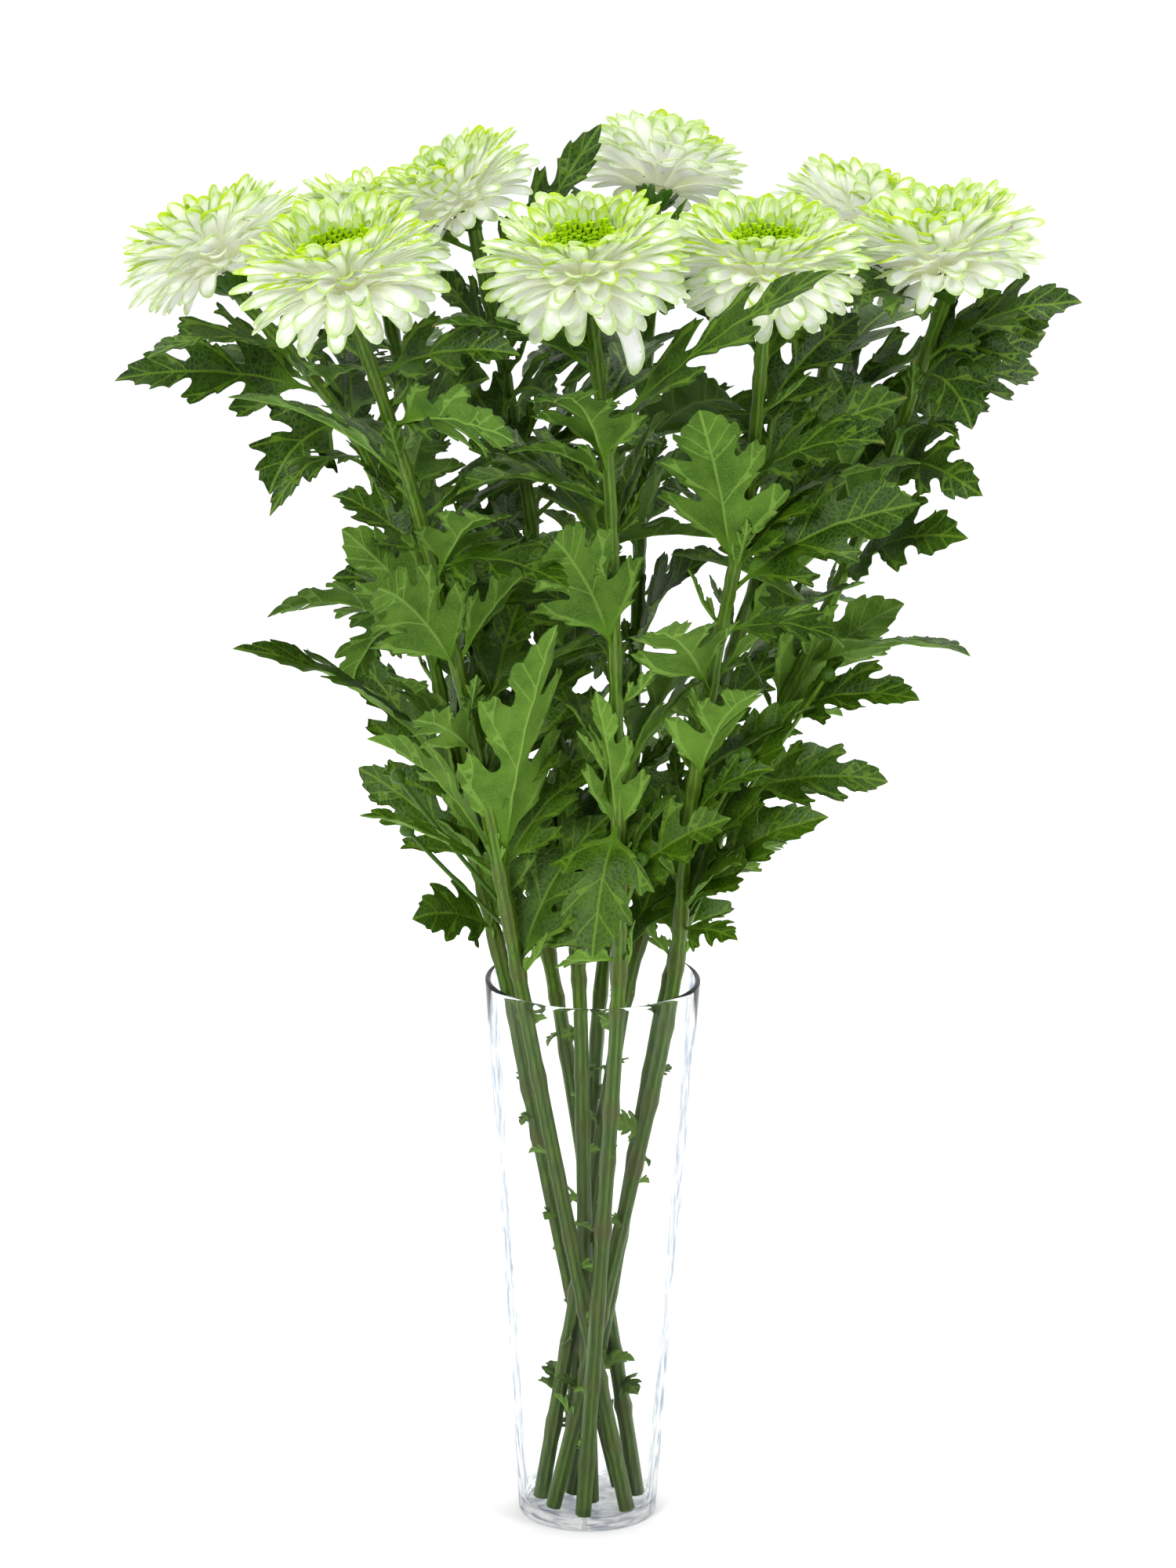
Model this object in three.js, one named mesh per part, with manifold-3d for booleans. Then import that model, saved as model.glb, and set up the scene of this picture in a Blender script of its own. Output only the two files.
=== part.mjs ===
// Nine cut chrysanthemums with white, green-tipped heads in a conical glass vase.
// Millimetres, +Z up, +X to the right, -Y towards the viewer.
// The origin is the centre of the vase's underside. The vase stands empty of water.
import * as THREE from 'three';
import { mergeVertices } from 'three/addons/utils/BufferGeometryUtils.js';
import Module from 'manifold-3d';

const wasm = await Module();
wasm.setup();

// Driving dimensions of the vase
const vaseSize = { height: 300, baseRadius: 37, rimRadius: 57, wall: 3, floor: 5, foot: 2, sides: 28 };

// Driving dimensions of a stem, its blades and a flower head
const stemSize = { radius: 3.5, sides: 5, steps: 8 };
const bladeSize = {
  stalkShare: 0.3, stalkDepth: 2.4, depth: 0.8, fold: 0.28, wave: 3, waves: 10,
};
const smallLeaf = 80;
const headSize = {
  sides: 6, gap: 0.3, cupRadius: 9, cupFoot: 5, cupTop: 4.5, shoulderRadius: 23, shoulderLow: 12,
  shoulderHigh: 20, crownRadius: 16, crown: 27,
};
const heartSize = { radius: 13, brim: 12, rim: 4, height: 8 };

// A petal's rings: share of the length, share of the width. Its edges stand up by cup, and its
// back hangs down by keel.
const petalSize = { keel: 0.9, cup: 1.3, rings: [[0, 0.3], [0.6, 1], [1, 0.5]] };

// Each stem's course from its cut foot to the flower head: foot, waist of the bunch, rim, four
// more places up to the head. They cross in the vase, left to right and right to left. lean is the head's axis, sideways and away from the viewer, for
// every unit of rise. size scales the head.
const stems = [
  {
    course: [[17, 17, 6], [-10, 13, 120], [-45, 4, 290], [-69, 14, 388], [-91, 24, 488], [-126, 30, 583],
      [-190, 34, 662]],
    lean: [-0.48, 0.28], size: 0.95,
  },
  {
    course: [[21, -18, 6], [-2, -23, 120], [-35, -29, 290], [-53, -50, 394], [-73, -66, 495],
      [-96, -78, 588], [-124, -86, 675]],
    lean: [-0.22, -0.2], size: 1,
  },
  {
    course: [[27, 4, 6], [8, 14, 120], [-20, 24, 285], [-39, 44, 367], [-63, 66, 456], [-89, 88, 544],
      [-119, 112, 660]],
    lean: [-0.1, 0.12], size: 0.9,
  },
  {
    course: [[2, -7, 6], [-2, -4, 120], [-7, 0, 290], [-15, 10, 377], [-25, 20, 468], [-39, 26, 568],
      [-66, 30, 698]],
    lean: [-0.55, -0.05], size: 0.85,
  },
  {
    course: [[-2, -27, 6], [4, -33, 120], [13, -35, 290], [13, -48, 386], [9, -64, 508], [5, -76, 593],
      [-5, -88, 680]],
    lean: [-0.12, -0.22], size: 1,
    strays: [{ turn: -62, rise: -10, end: -100, length: 50, width: 17 }],
  },
  {
    course: [[-10, 22, 6], [-4, 28, 120], [5, 36, 290], [18, 56, 364], [21, 72, 464], [24, 80, 573],
      [28, 84, 698]],
    lean: [0.22, 0.5], size: 0.88,
  },
  {
    course: [[-18, -15, 6], [7, -14, 120], [41, -16, 290], [48, -36, 387], [61, -50, 484], [77, -58, 581],
      [84, -54, 675]],
    lean: [-0.02, -0.2], size: 0.95,
  },
  {
    course: [[-25, -1, 6], [-7, 4, 120], [19, 18, 290], [46, 46, 375], [78, 70, 478], [111, 84, 573],
      [130, 92, 673]],
    lean: [0.3, 0.4], size: 0.85,
  },
  {
    course: [[-8, 5, 6], [11, 4, 120], [39, 5, 290], [68, 6, 384], [111, 4, 478], [148, 0, 576],
      [178, -6, 672]],
    lean: [-0.18, -0.02], size: 1,
  },
];

// Leaves that show their own place: the stem, the share of its course where the stalk leaves it,
// the tip, the arch in degrees, the width, and the turn of the blade about its rib in degrees.
const shownLeaves = [
  { stem: 1, at: 0.88, tip: [-250, 5, 620], arch: 30, width: 62, turn: -60 },
  { stem: 1, at: 0.92, tip: [-230, -40, 640], arch: 50, width: 40, turn: -20 },
  { stem: 1, at: 0.89, tip: [-225, 70, 610], arch: 40, width: 40, turn: -25 },
  { stem: 1, at: 0.8, tip: [-168, -45, 560], arch: 90, width: 26, turn: 0 },
  { stem: 1, at: 0.85, tip: [-170, 0, 560], arch: 80, width: 56, turn: -60 },
  { stem: 2, at: 0.75, tip: [-135, -60, 575], arch: 35, width: 46, turn: -50 },
  { stem: 2, at: 0.65, tip: [-130, -90, 565], arch: 25, width: 58, turn: 70 },
  { stem: 1, at: 0.67, tip: [-128, 22, 450], arch: 80, width: 46, turn: 60 },
  { stem: 1, at: 0.52, tip: [-185, -60, 495], arch: 40, width: 46, turn: 0 },
  { stem: 1, at: 0.48, tip: [-128, 30, 468], arch: 20, width: 54, turn: -60 },
  { stem: 1, at: 0.44, tip: [-125, 30, 405], arch: 25, width: 46, turn: -50 },
  { stem: 2, at: 0.45, tip: [-120, -70, 410], arch: 30, width: 36, turn: -20 },
  { stem: 1, at: 0.38, tip: [-95, -30, 340], arch: 50, width: 50, turn: -40 },
  { stem: 2, at: 0.45, tip: [-20, -105, 520], arch: 25, width: 76, turn: 0 },
  { stem: 2, at: 0.57, tip: [-92, -108, 470], arch: 30, width: 40, turn: 60 },
  { stem: 5, at: 0.52, tip: [0, -95, 340], arch: 60, width: 60, turn: 0 },
  { stem: 5, at: 0.38, tip: [-20, -60, 325], arch: 20, width: 26, turn: 40 },
  { stem: 5, at: 0.49, tip: [0, -85, 480], arch: 20, width: 40, turn: 0 },
  { stem: 5, at: 0.46, tip: [70, -75, 410], arch: 30, width: 50, turn: 45 },
  { stem: 7, at: 0.42, tip: [75, -70, 385], arch: 30, width: 40, turn: 40 },
  { stem: 7, at: 0.38, tip: [105, -40, 465], arch: 30, width: 76, turn: 70 },
  { stem: 9, at: 0.53, tip: [155, 15, 405], arch: 30, width: 42, turn: 50 },
  { stem: 7, at: 0.4, tip: [75, -60, 340], arch: 20, width: 30, turn: 40 },
  { stem: 9, at: 0.59, tip: [160, 5, 505], arch: 40, width: 60, turn: -60 },
  { stem: 9, at: 0.63, tip: [180, 66, 468], arch: 40, width: 36, turn: 20 },
  { stem: 9, at: 0.75, tip: [165, 30, 555], arch: 30, width: 50, turn: -60 },
  { stem: 9, at: 0.92, tip: [190, -50, 610], arch: 90, width: 50, turn: 50 },
  { stem: 9, at: 0.91, tip: [235, -15, 665], arch: 40, width: 60, turn: 45 },
  { stem: 9, at: 0.89, tip: [230, 40, 620], arch: 40, width: 50, turn: 50 },
  { stem: 9, at: 0.85, tip: [185, -30, 600], arch: 110, width: 24, turn: 0 },
  { stem: 9, at: 0.81, tip: [120, 30, 625], arch: 30, width: 60, turn: -50 },
  { stem: 9, at: 0.77, tip: [110, -30, 625], arch: 20, width: 60, turn: 30 },
  { stem: 7, at: 0.75, tip: [50, -95, 630], arch: 20, width: 76, turn: 0 },
  { stem: 5, at: 0.82, tip: [-45, -110, 610], arch: 50, width: 36, turn: 0 },
  { stem: 5, at: 0.87, tip: [104, -162, 694], arch: 25, width: 46, turn: 50 },
  { stem: 2, at: 0.88, tip: [-55, -110, 648], arch: 25, width: 60, turn: 55 },
  { stem: 4, at: 0.9, tip: [-84, -22, 684], arch: 20, width: 42, turn: -60 },
  { stem: 4, at: 0.82, tip: [-82, 14, 632], arch: 25, width: 50, turn: -70 },
  { stem: 4, at: 0.93, tip: [0, 62, 745], arch: 20, width: 44, turn: 50 },
  { stem: 4, at: 0.9, tip: [-28, 68, 706], arch: 20, width: 36, turn: 50 },
  { stem: 6, at: 0.9, tip: [42, 46, 710], arch: 10, width: 40, turn: 30 },
];

// The other leaves stand up each stem by the golden angle, where there is room for them.
const otherLeaves = {
  perStem: 7, first: 0.36, last: 0.92, length: 118, width: 68, tries: 18,
  tryTurn: 47, tryShrink: 0.965, lowRise: 58, highRise: 28, scatter: 14, arch: 35, roll: 50,
};
const room = {
  leaf: 11, stem: 8, head: 64, headRise: 24, rim: 6, stemPlaces: 80,
  shares: [0.32, 0.45, 0.58, 0.71, 0.84, 0.96], parts: [-0.9, -0.45, 0, 0.45, 0.9],
};
const seeds = { roll: 7, rise: 20, end: 40, length: 60 };

// Half the outline of a lobed blade, lobe by lobe. rib is where the lobe's upper corner meets the
// rib, as a share of the length; edge holds the lobe's points: share of length, share of half width.
const lobedBlade = [
  { rib: 0.14, edge: [[0, 0.05], [0.14, 0.06]] },
  { rib: 0.43, edge: [[0.14, 0.06], [0.27, 0.62], [0.42, 1], [0.43, 0.27]] },
  { rib: 0.69, edge: [[0.43, 0.27], [0.68, 0.82], [0.69, 0.33]] },
  { rib: 1, edge: [[0.69, 0.33], [0.79, 0.5], [1, 0]] },
];
const smallBlade = [
  { rib: 0.16, edge: [[0, 0.08], [0.16, 0.08]] },
  { rib: 0.5, edge: [[0.16, 0.08], [0.3, 0.6], [0.47, 1], [0.5, 0.35]] },
  { rib: 1, edge: [[0.5, 0.35], [0.74, 0.7], [1, 0]] },
];

// Rows of petals from the outside in: how many, where they leave the core, the slope at root and
// tip in degrees, the length and the width.
const petalRows = [
  { count: 8, radius: 14, height: 10, rise: 4, end: -52, length: 42, width: 24 },
  { count: 7, radius: 15, height: 14, rise: 26, end: -16, length: 39, width: 22 },
  { count: 6, radius: 15, height: 18, rise: 46, end: 22, length: 33, width: 20 },
  { count: 5, radius: 14, height: 20, rise: 74, end: 60, length: 26, width: 16 },
];
const petalScatter = { turn: 6, slope: 6, length: 0.08 };
const florets = { count: 10, sides: 3, length: 9, radius: 2.6, spread: 11, sink: 3, splay: 0.4 };

const colours = { glass: 0xdfe9e6, leaf: 0x3f6b2c, petal: 0xf3f6e4, heart: 0x9bcb34 };

const up = new THREE.Vector3(0, 0, 1);
const degree = Math.PI / 180;
const goldenAngle = 137.5;

// A seeded draw from 0 to 1 that is always the same for the same three numbers.
function chance(i, j = 0, k = 0) {
  const x = Math.sin(i * 12.9898 + j * 78.233 + k * 37.719) * 43758.5453;
  return x - Math.floor(x);
}

const scatter = (i, j, k) => 2 * chance(i, j, k) - 1;

// The point that a curve of constant bend reaches: how far along, and how high. The slope goes
// from start to end, both in radians, over the whole length.
function bend(start, end, length, share) {
  const half = (end - start) * share / 2;
  const chord = length * share * (Math.abs(half) < 1e-6 ? 1 : Math.sin(half) / half);
  return [chord * Math.cos(start + half), chord * Math.sin(start + half)];
}

// Triangles gathered corner by corner, then welded into one closed skin.
function skinOf(triangles) {
  const geometry = new THREE.BufferGeometry();
  const whole = triangles.filter(([a, b, c]) => !a.equals(b) && !b.equals(c) && !c.equals(a));
  const corners = whole.flatMap((triangle) => triangle.flatMap((corner) => corner.toArray()));
  geometry.setAttribute('position', new THREE.Float32BufferAttribute(corners, 3));
  return geometry;
}

function solidOf(geometry) {
  const bare = new THREE.BufferGeometry();
  bare.setAttribute('position', geometry.getAttribute('position'));
  bare.setIndex(geometry.getIndex());
  const welded = mergeVertices(bare, 1e-3);
  return new wasm.Manifold(new wasm.Mesh({
    numProp: 3,
    vertProperties: new Float32Array(welded.getAttribute('position').array),
    triVerts: new Uint32Array(welded.getIndex().array),
  }));
}

// Everything joined, with sealed hollows filled and loose scraps dropped.
function joined(solids) {
  const whole = wasm.Manifold.union(solids);
  const pieces = whole.decompose();
  return pieces.reduce((best, piece) => (piece.volume() > best.volume() ? piece : best));
}

function geometryOf(solid) {
  const mesh = solid.getMesh();
  const geometry = new THREE.BufferGeometry();
  geometry.setAttribute('position', new THREE.Float32BufferAttribute(mesh.vertProperties, 3));
  geometry.setIndex([...mesh.triVerts]);
  geometry.computeVertexNormals();
  return geometry;
}

function makeVase() {
  const { height, baseRadius, rimRadius, wall, floor, foot, sides } = vaseSize;
  const profile = [
    [0, 0], [baseRadius - foot, 0], [baseRadius, foot], [rimRadius, height - wall / 2],
    [rimRadius - wall / 2, height], [rimRadius - wall, height - wall / 2],
    [baseRadius - wall + foot / 2, floor + foot], [baseRadius - wall - foot, floor], [0, floor],
  ];
  const points = profile.map(([radius, level]) => new THREE.Vector2(radius, level));
  const lathe = new THREE.LatheGeometry(points, sides);
  return lathe.rotateX(Math.PI / 2);
}

// A frame at the top of a stem: right, back and axis of its flower head.
function headFrame(stem) {
  const axis = new THREE.Vector3(stem.lean[0], stem.lean[1], 1).normalize();
  const right = new THREE.Vector3(0, 1, 0).cross(axis).normalize();
  const back = axis.clone().cross(right);
  return new THREE.Matrix4()
    .makeBasis(right, back, axis)
    .scale(new THREE.Vector3(stem.size, stem.size, stem.size))
    .setPosition(stem.curve.getPoint(1));
}

for (const stem of stems) {
  const points = stem.course.map((place) => new THREE.Vector3(...place));
  stem.curve = new THREE.CatmullRomCurve3(points, false, 'catmullrom', 0.5);
  stem.head = headFrame(stem);
}

// A leaf's rib as an arch in the upright plane through its root on the stem and its tip.
function leafFrame(leaf) {
  const root = stems[leaf.stem - 1].curve.getPoint(leaf.at);
  const reach = new THREE.Vector3(...leaf.tip).sub(root);
  const along = reach.clone().normalize();
  const level = along.clone().cross(up).normalize();
  const half = leaf.arch * degree / 2;
  const length = reach.length() * half / Math.sin(half);
  return { root, along, level, rise: level.clone().cross(along), half, length, turn: leaf.turn * degree };
}

// A point of a blade: share of the length, distance from the rib, height over the upper face.
function bladePoint(frame, share, across, lift) {
  const { root, along, level, rise, half, length, turn } = frame;
  const [ahead, high] = bend(half, -half, length, share);
  const slope = half * (1 - 2 * share);
  const normal = rise.clone().multiplyScalar(Math.cos(slope)).addScaledVector(along, -Math.sin(slope));
  return root.clone()
    .addScaledVector(along, ahead)
    .addScaledVector(rise, high)
    .addScaledVector(level, across * Math.cos(turn) + lift * Math.sin(turn))
    .addScaledVector(normal, lift * Math.cos(turn) - across * Math.sin(turn));
}

// A folded, waved blade with its stalk: each lobe is a fan about its place on the rib.
function makeLeaf(leaf, index) {
  const frame = leafFrame(leaf);
  const lobes = frame.length < smallLeaf ? smallBlade : lobedBlade;
  const triangles = [];
  for (const hand of [1, -1]) {
    const place = ([share, wide], level) => {
      const part = share === 0 && level < 0 ? 0 : wide;
      const across = part * leaf.width / 2;
      const wave = bladeSize.wave * part * scatter(index, Math.round(share * bladeSize.waves), hand);
      const thin = Math.min(share / bladeSize.stalkShare, 1);
      const depth = THREE.MathUtils.lerp(bladeSize.stalkDepth, bladeSize.depth, thin);
      return bladePoint(frame, share, hand * across, across * bladeSize.fold + wave + level * depth / 2);
    };
    const face = (a, b, c) => triangles.push(hand > 0 ? [a, b, c] : [c, b, a]);
    let low = 0;
    for (const { rib, edge } of lobes) {
      const corners = [[low, 0], ...edge];
      const middle = [rib, 0];
      for (let k = 1; k < corners.length; k += 1) {
        const [a, b] = [corners[k - 1], corners[k]];
        face(place(middle, 1), place(a, 1), place(b, 1));
        face(place(middle, -1), place(b, -1), place(a, -1));
        if (k > 1 || low === 0) {
          face(place(b, 1), place(a, 1), place(a, -1));
          face(place(b, 1), place(a, -1), place(b, -1));
        }
      }
      low = rib;
    }
  }
  return solidOf(skinOf(triangles));
}

// Places spread over a blade, for keeping it clear of the rest.
function bladePlaces(leaf) {
  const frame = leafFrame(leaf);
  return room.shares.flatMap((share) => {
    const wide = leaf.width / 2 * Math.sqrt(Math.sin(Math.PI * share));
    return room.parts.map((part) => bladePoint(frame, share, part * wide, 0));
  });
}

// All leaves: those that show, then the others wherever they clear leaves, stems, heads and rim.
function placeLeaves() {
  const taken = stems.flatMap((stem) => [
    ...stem.curve.getPoints(room.stemPlaces).map((point) => ({ point, reach: room.stem })),
    {
      point: new THREE.Vector3(0, 0, room.headRise).applyMatrix4(stem.head),
      reach: room.head * stem.size,
    },
  ]);
  const leaves = [];
  const keep = (leaf) => {
    leaves.push(leaf);
    taken.push(...bladePlaces(leaf).map((point) => ({ point, reach: room.leaf })));
  };
  const clearsRim = (point) => point.z > vaseSize.height + room.rim
    || Math.hypot(point.x, point.y) > vaseSize.rimRadius + room.rim;
  const isClear = (leaf) => bladePlaces(leaf).every((place) => clearsRim(place)
    && taken.every(({ point, reach }) => place.distanceToSquared(point) > reach * reach));
  shownLeaves.forEach(keep);
  stems.forEach((stem, s) => {
    for (let k = 0; k < otherLeaves.perStem; k += 1) {
      const height = k / (otherLeaves.perStem - 1);
      const at = THREE.MathUtils.lerp(otherLeaves.first, otherLeaves.last, height);
      const root = stem.curve.getPoint(at);
      for (let attempt = 0; attempt < otherLeaves.tries; attempt += 1) {
        const heading = (goldenAngle * (k + s) + otherLeaves.tryTurn * attempt) * degree;
        const rise = (THREE.MathUtils.lerp(otherLeaves.lowRise, otherLeaves.highRise, height)
          + otherLeaves.scatter * scatter(s, k, attempt)) * degree;
        const size = otherLeaves.tryShrink ** attempt;
        const reach = new THREE.Vector3(
          Math.cos(heading) * Math.cos(rise), Math.sin(heading) * Math.cos(rise), Math.sin(rise),
        ).multiplyScalar(otherLeaves.length * size);
        const leaf = {
          stem: s + 1, at, tip: root.clone().add(reach).toArray(), arch: otherLeaves.arch,
          width: otherLeaves.width * size, turn: otherLeaves.roll * scatter(s, k, seeds.roll),
        };
        if (isClear(leaf)) {
          keep(leaf);
          break;
        }
      }
    }
  });
  return leaves;
}

// A turned solid given by its profile of radius and level, in a head's own frame.
function turned(profile, frame) {
  const points = profile.map(([radius, level]) => new THREE.Vector2(radius, level));
  return new THREE.LatheGeometry(points, headSize.sides).rotateX(Math.PI / 2).applyMatrix4(frame);
}

function makeStem(stem) {
  const section = new THREE.Shape();
  for (let side = 0; side < stemSize.sides; side += 1) {
    const angle = 2 * Math.PI * side / stemSize.sides;
    const [x, y] = [stemSize.radius * Math.cos(angle), stemSize.radius * Math.sin(angle)];
    if (side === 0) section.moveTo(x, y);
    else section.lineTo(x, y);
  }
  section.closePath();
  const tube = new THREE.ExtrudeGeometry(section, {
    steps: stemSize.steps, extrudePath: stem.curve, bevelEnabled: false,
  });
  const { cupRadius, cupTop, cupFoot } = headSize;
  const cup = turned([[0, -cupFoot], [stemSize.radius, -cupFoot], [cupRadius, cupTop / 2],
    [cupRadius, cupTop], [0, cupTop]], stem.head);
  return [solidOf(tube), solidOf(cup)];
}

// A keeled petal that bends along its length and ends in a blunt tip.
function makePetal(frame, petal) {
  const heading = petal.turn * degree;
  const out = new THREE.Vector3(Math.cos(heading), Math.sin(heading), 0);
  const side = up.clone().cross(out);
  const point = (share, across, lift) => {
    const [start, end] = [petal.rise * degree, petal.end * degree];
    const [ahead, high] = bend(start, end, petal.length, share);
    const slope = start + (end - start) * share;
    return out.clone().multiplyScalar(petal.radius + ahead - lift * Math.sin(slope))
      .addScaledVector(side, across)
      .addScaledVector(up, petal.height + high + lift * Math.cos(slope))
      .applyMatrix4(frame);
  };
  const rings = petalSize.rings.map(([share, wide]) => {
    const half = petal.width * wide / 2;
    const cup = petalSize.cup * wide;
    return [point(share, -half, cup), point(share, half, cup), point(share, 0, -petalSize.keel)];
  });
  const [right, left, keel] = rings[0];
  const triangles = [[right, left, keel]];
  for (let k = 1; k < rings.length; k += 1) {
    const [r0, l0, c0] = rings[k - 1];
    const [r1, l1, c1] = rings[k];
    if (k < rings.length - 1) {
      triangles.push([r0, r1, l1], [r0, l1, l0], [l0, l1, c1], [l0, c1, c0], [r1, r0, c0], [r1, c0, c1]);
    } else {
      triangles.push([r0, r1, l1], [r0, l1, l0], [l0, l1, c0], [r1, r0, c0], [c0, l1, r1]);
    }
  }
  return solidOf(skinOf(triangles));
}

function makeBloom(stem, number) {
  const { cupRadius, cupTop, gap, shoulderRadius, shoulderLow, shoulderHigh, crownRadius, crown } = headSize;
  const bottom = cupTop + gap;
  const core = turned([[0, bottom], [cupRadius, bottom], [shoulderRadius, shoulderLow],
    [shoulderRadius, shoulderHigh], [crownRadius, crown], [0, crown]], stem.head);
  const petals = petalRows.flatMap((row, r) => Array.from({ length: row.count }, (_, k) => ({
    ...row,
    turn: 360 * (k + r / 2) / row.count + petalScatter.turn * scatter(number, r, k),
    rise: row.rise + petalScatter.slope * scatter(number + seeds.rise, r, k),
    end: row.end + petalScatter.slope * scatter(number + seeds.end, r, k),
    length: row.length * (1 + petalScatter.length * scatter(number + seeds.length, r, k)),
  })));
  const strays = (stem.strays ?? []).map((stray) => ({ ...petalRows[0], ...stray }));
  return [solidOf(core), ...[...petals, ...strays].map((petal) => makePetal(stem.head, petal))];
}

// The green middle of a head: a low button set with pointed florets that splay outwards.
function makeHeart(stem) {
  const { radius, brim, rim, height } = heartSize;
  const bottom = headSize.crown + headSize.gap;
  const button = turned([[0, bottom], [radius, bottom], [brim, bottom + rim], [0, bottom + height]],
    stem.head);
  const floretLength = florets.length + florets.sink;
  const spikes = Array.from({ length: florets.count }, (_, k) => {
    const heading = goldenAngle * k * degree;
    const distance = florets.spread * Math.sqrt((k + 0.5) / florets.count);
    const level = bottom + THREE.MathUtils.lerp(height, rim, distance / florets.spread) - florets.sink;
    return new THREE.ConeGeometry(florets.radius, floretLength, florets.sides)
      .translate(0, floretLength / 2, 0)
      .rotateX(Math.PI / 2)
      .rotateY(florets.splay * distance / florets.spread)
      .translate(distance, 0, level)
      .rotateZ(heading)
      .applyMatrix4(stem.head);
  });
  return [solidOf(button), ...spikes.map(solidOf)];
}

function piece(name, solids, colour, roughness, finish = {}) {
  const material = new THREE.MeshStandardMaterial({ color: colour, roughness, metalness: 0, ...finish });
  const mesh = new THREE.Mesh(geometryOf(joined(solids)), material);
  mesh.name = name;
  return mesh;
}

const bouquet = new THREE.Group();
const leaves = placeLeaves().map((leaf, index) => ({ stem: leaf.stem, solid: makeLeaf(leaf, index) }));
stems.forEach((stem, s) => {
  const number = s + 1;
  const own = leaves.filter((leaf) => leaf.stem === number).map((leaf) => leaf.solid);
  bouquet.add(
    piece(`leafy_stem_${number}`, [...makeStem(stem), ...own], colours.leaf, 0.55),
    piece(`bloom_${number}`, makeBloom(stem, number), colours.petal, 0.6),
    piece(`heart_${number}`, makeHeart(stem), colours.heart, 0.6),
  );
});

const model = new THREE.Group();
model.add(piece('vase', [solidOf(makeVase())], colours.glass, 0.05, { transparent: true, opacity: 0.3 }));
model.add(bouquet);

export default model;
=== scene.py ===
# Nine white and green chrysanthemums in a conical glass vase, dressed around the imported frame.
# Forms are in millimetres until a mesh is finished. The camera, the studio and the heights that
# finishes read are in metres. Angles in the dictionaries and lists are in degrees.
import math

import bpy
import numpy as np
from mathutils import Matrix, Vector, noise
from mathutils.geometry import delaunay_2d_cdt


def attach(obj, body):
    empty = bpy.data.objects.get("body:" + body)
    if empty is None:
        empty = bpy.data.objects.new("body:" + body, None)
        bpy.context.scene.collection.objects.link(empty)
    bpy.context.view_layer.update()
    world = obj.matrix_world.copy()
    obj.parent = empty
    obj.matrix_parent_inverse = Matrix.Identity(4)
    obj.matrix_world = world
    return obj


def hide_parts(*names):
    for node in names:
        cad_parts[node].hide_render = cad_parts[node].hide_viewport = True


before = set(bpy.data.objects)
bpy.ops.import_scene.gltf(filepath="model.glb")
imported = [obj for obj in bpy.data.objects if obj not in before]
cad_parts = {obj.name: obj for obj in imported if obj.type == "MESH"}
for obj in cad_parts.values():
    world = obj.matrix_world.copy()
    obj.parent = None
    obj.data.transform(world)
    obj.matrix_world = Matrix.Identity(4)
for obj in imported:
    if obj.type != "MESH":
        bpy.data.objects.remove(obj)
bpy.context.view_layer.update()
print("frame loaded")

metresPerMm = 0.001
goldenAngle = 137.5
creaseAngle = 55


# Nodes: a socket that knows its tree, so that sums and products add the nodes they need

class Wire:
    def __init__(self, tree, socket=None):
        self.tree = tree
        self.socket = socket

    @staticmethod
    def pick(sockets, key):
        if isinstance(key, int):
            return sockets[key]
        return next(one for one in sockets if one.name == key and one.enabled)

    def node(self, kind, values=None, output=0, **settings):
        made = self.tree.nodes.new(kind)
        for name, value in settings.items():
            setattr(made, name, value)
        for key, value in (values or {}).items():
            socket = self.pick(made.inputs, key)
            if isinstance(value, Wire):
                self.tree.links.new(value.socket, socket)
            else:
                socket.default_value = value
        return Wire(self.tree, self.pick(made.outputs, output))

    def maths(self, operation, *others):
        return self.node("ShaderNodeMath", dict(enumerate((self, *others))), operation=operation)

    def __add__(self, other):
        return self.maths("ADD", other)

    def __sub__(self, other):
        return self.maths("SUBTRACT", other)

    def __rsub__(self, other):
        return self.node("ShaderNodeMath", {0: other, 1: self}, operation="SUBTRACT")

    def __mul__(self, other):
        return self.maths("MULTIPLY", other)

    def __truediv__(self, other):
        return self.maths("DIVIDE", other)

    __radd__ = __add__
    __rmul__ = __mul__

    def smooth(self, low, high):
        return self.node("ShaderNodeMapRange", {"Value": self, "From Min": low, "From Max": high},
                         interpolation_type="SMOOTHSTEP")

    def blend(self, first, second):
        return self.node("ShaderNodeMix", {"Factor": self, "A": first, "B": second}, "Result",
                         data_type="RGBA")

    def split(self):
        return [self.node("ShaderNodeSeparateXYZ", {0: self}, axis) for axis in range(3)]


# Seeded draws and the small geometry that everything shares

def chance(i, j=0, k=0):
    x = math.sin(i * 12.9898 + j * 78.233 + k * 37.719) * 43758.5453
    return x - math.floor(x)


def scatter(i, j=0, k=0):
    return 2 * chance(i, j, k) - 1


def lerp(low, high, share):
    return low + (high - low) * share


def material(name, inputs):
    made = bpy.data.materials.new(name)
    made.use_nodes = True
    shader = made.node_tree.nodes["Principled BSDF"]
    for key, value in inputs.items():
        shader.inputs[key].default_value = value
    return made, shader, Wire(made.node_tree)


def feed(shader, key, wire):
    wire.tree.links.new(wire.socket, shader.inputs[key])


def finish(shader, colour, roughness, height, strength, distance):
    # A finish from wires. The bump's distance is in millimetres.
    feed(shader, "Base Color", colour)
    feed(shader, "Roughness", roughness)
    feed(shader, "Normal", height.node("ShaderNodeBump", {
        "Height": height, "Strength": strength, "Distance": distance * metresPerMm}))


def read(wire, name, output="Fac"):
    return wire.node("ShaderNodeAttribute", {}, output, attribute_name=name)


def noiseOn(place, scale, detail=2.0):
    return place.node("ShaderNodeTexNoise", {"Vector": place, "Scale": scale, "Detail": detail})


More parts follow.
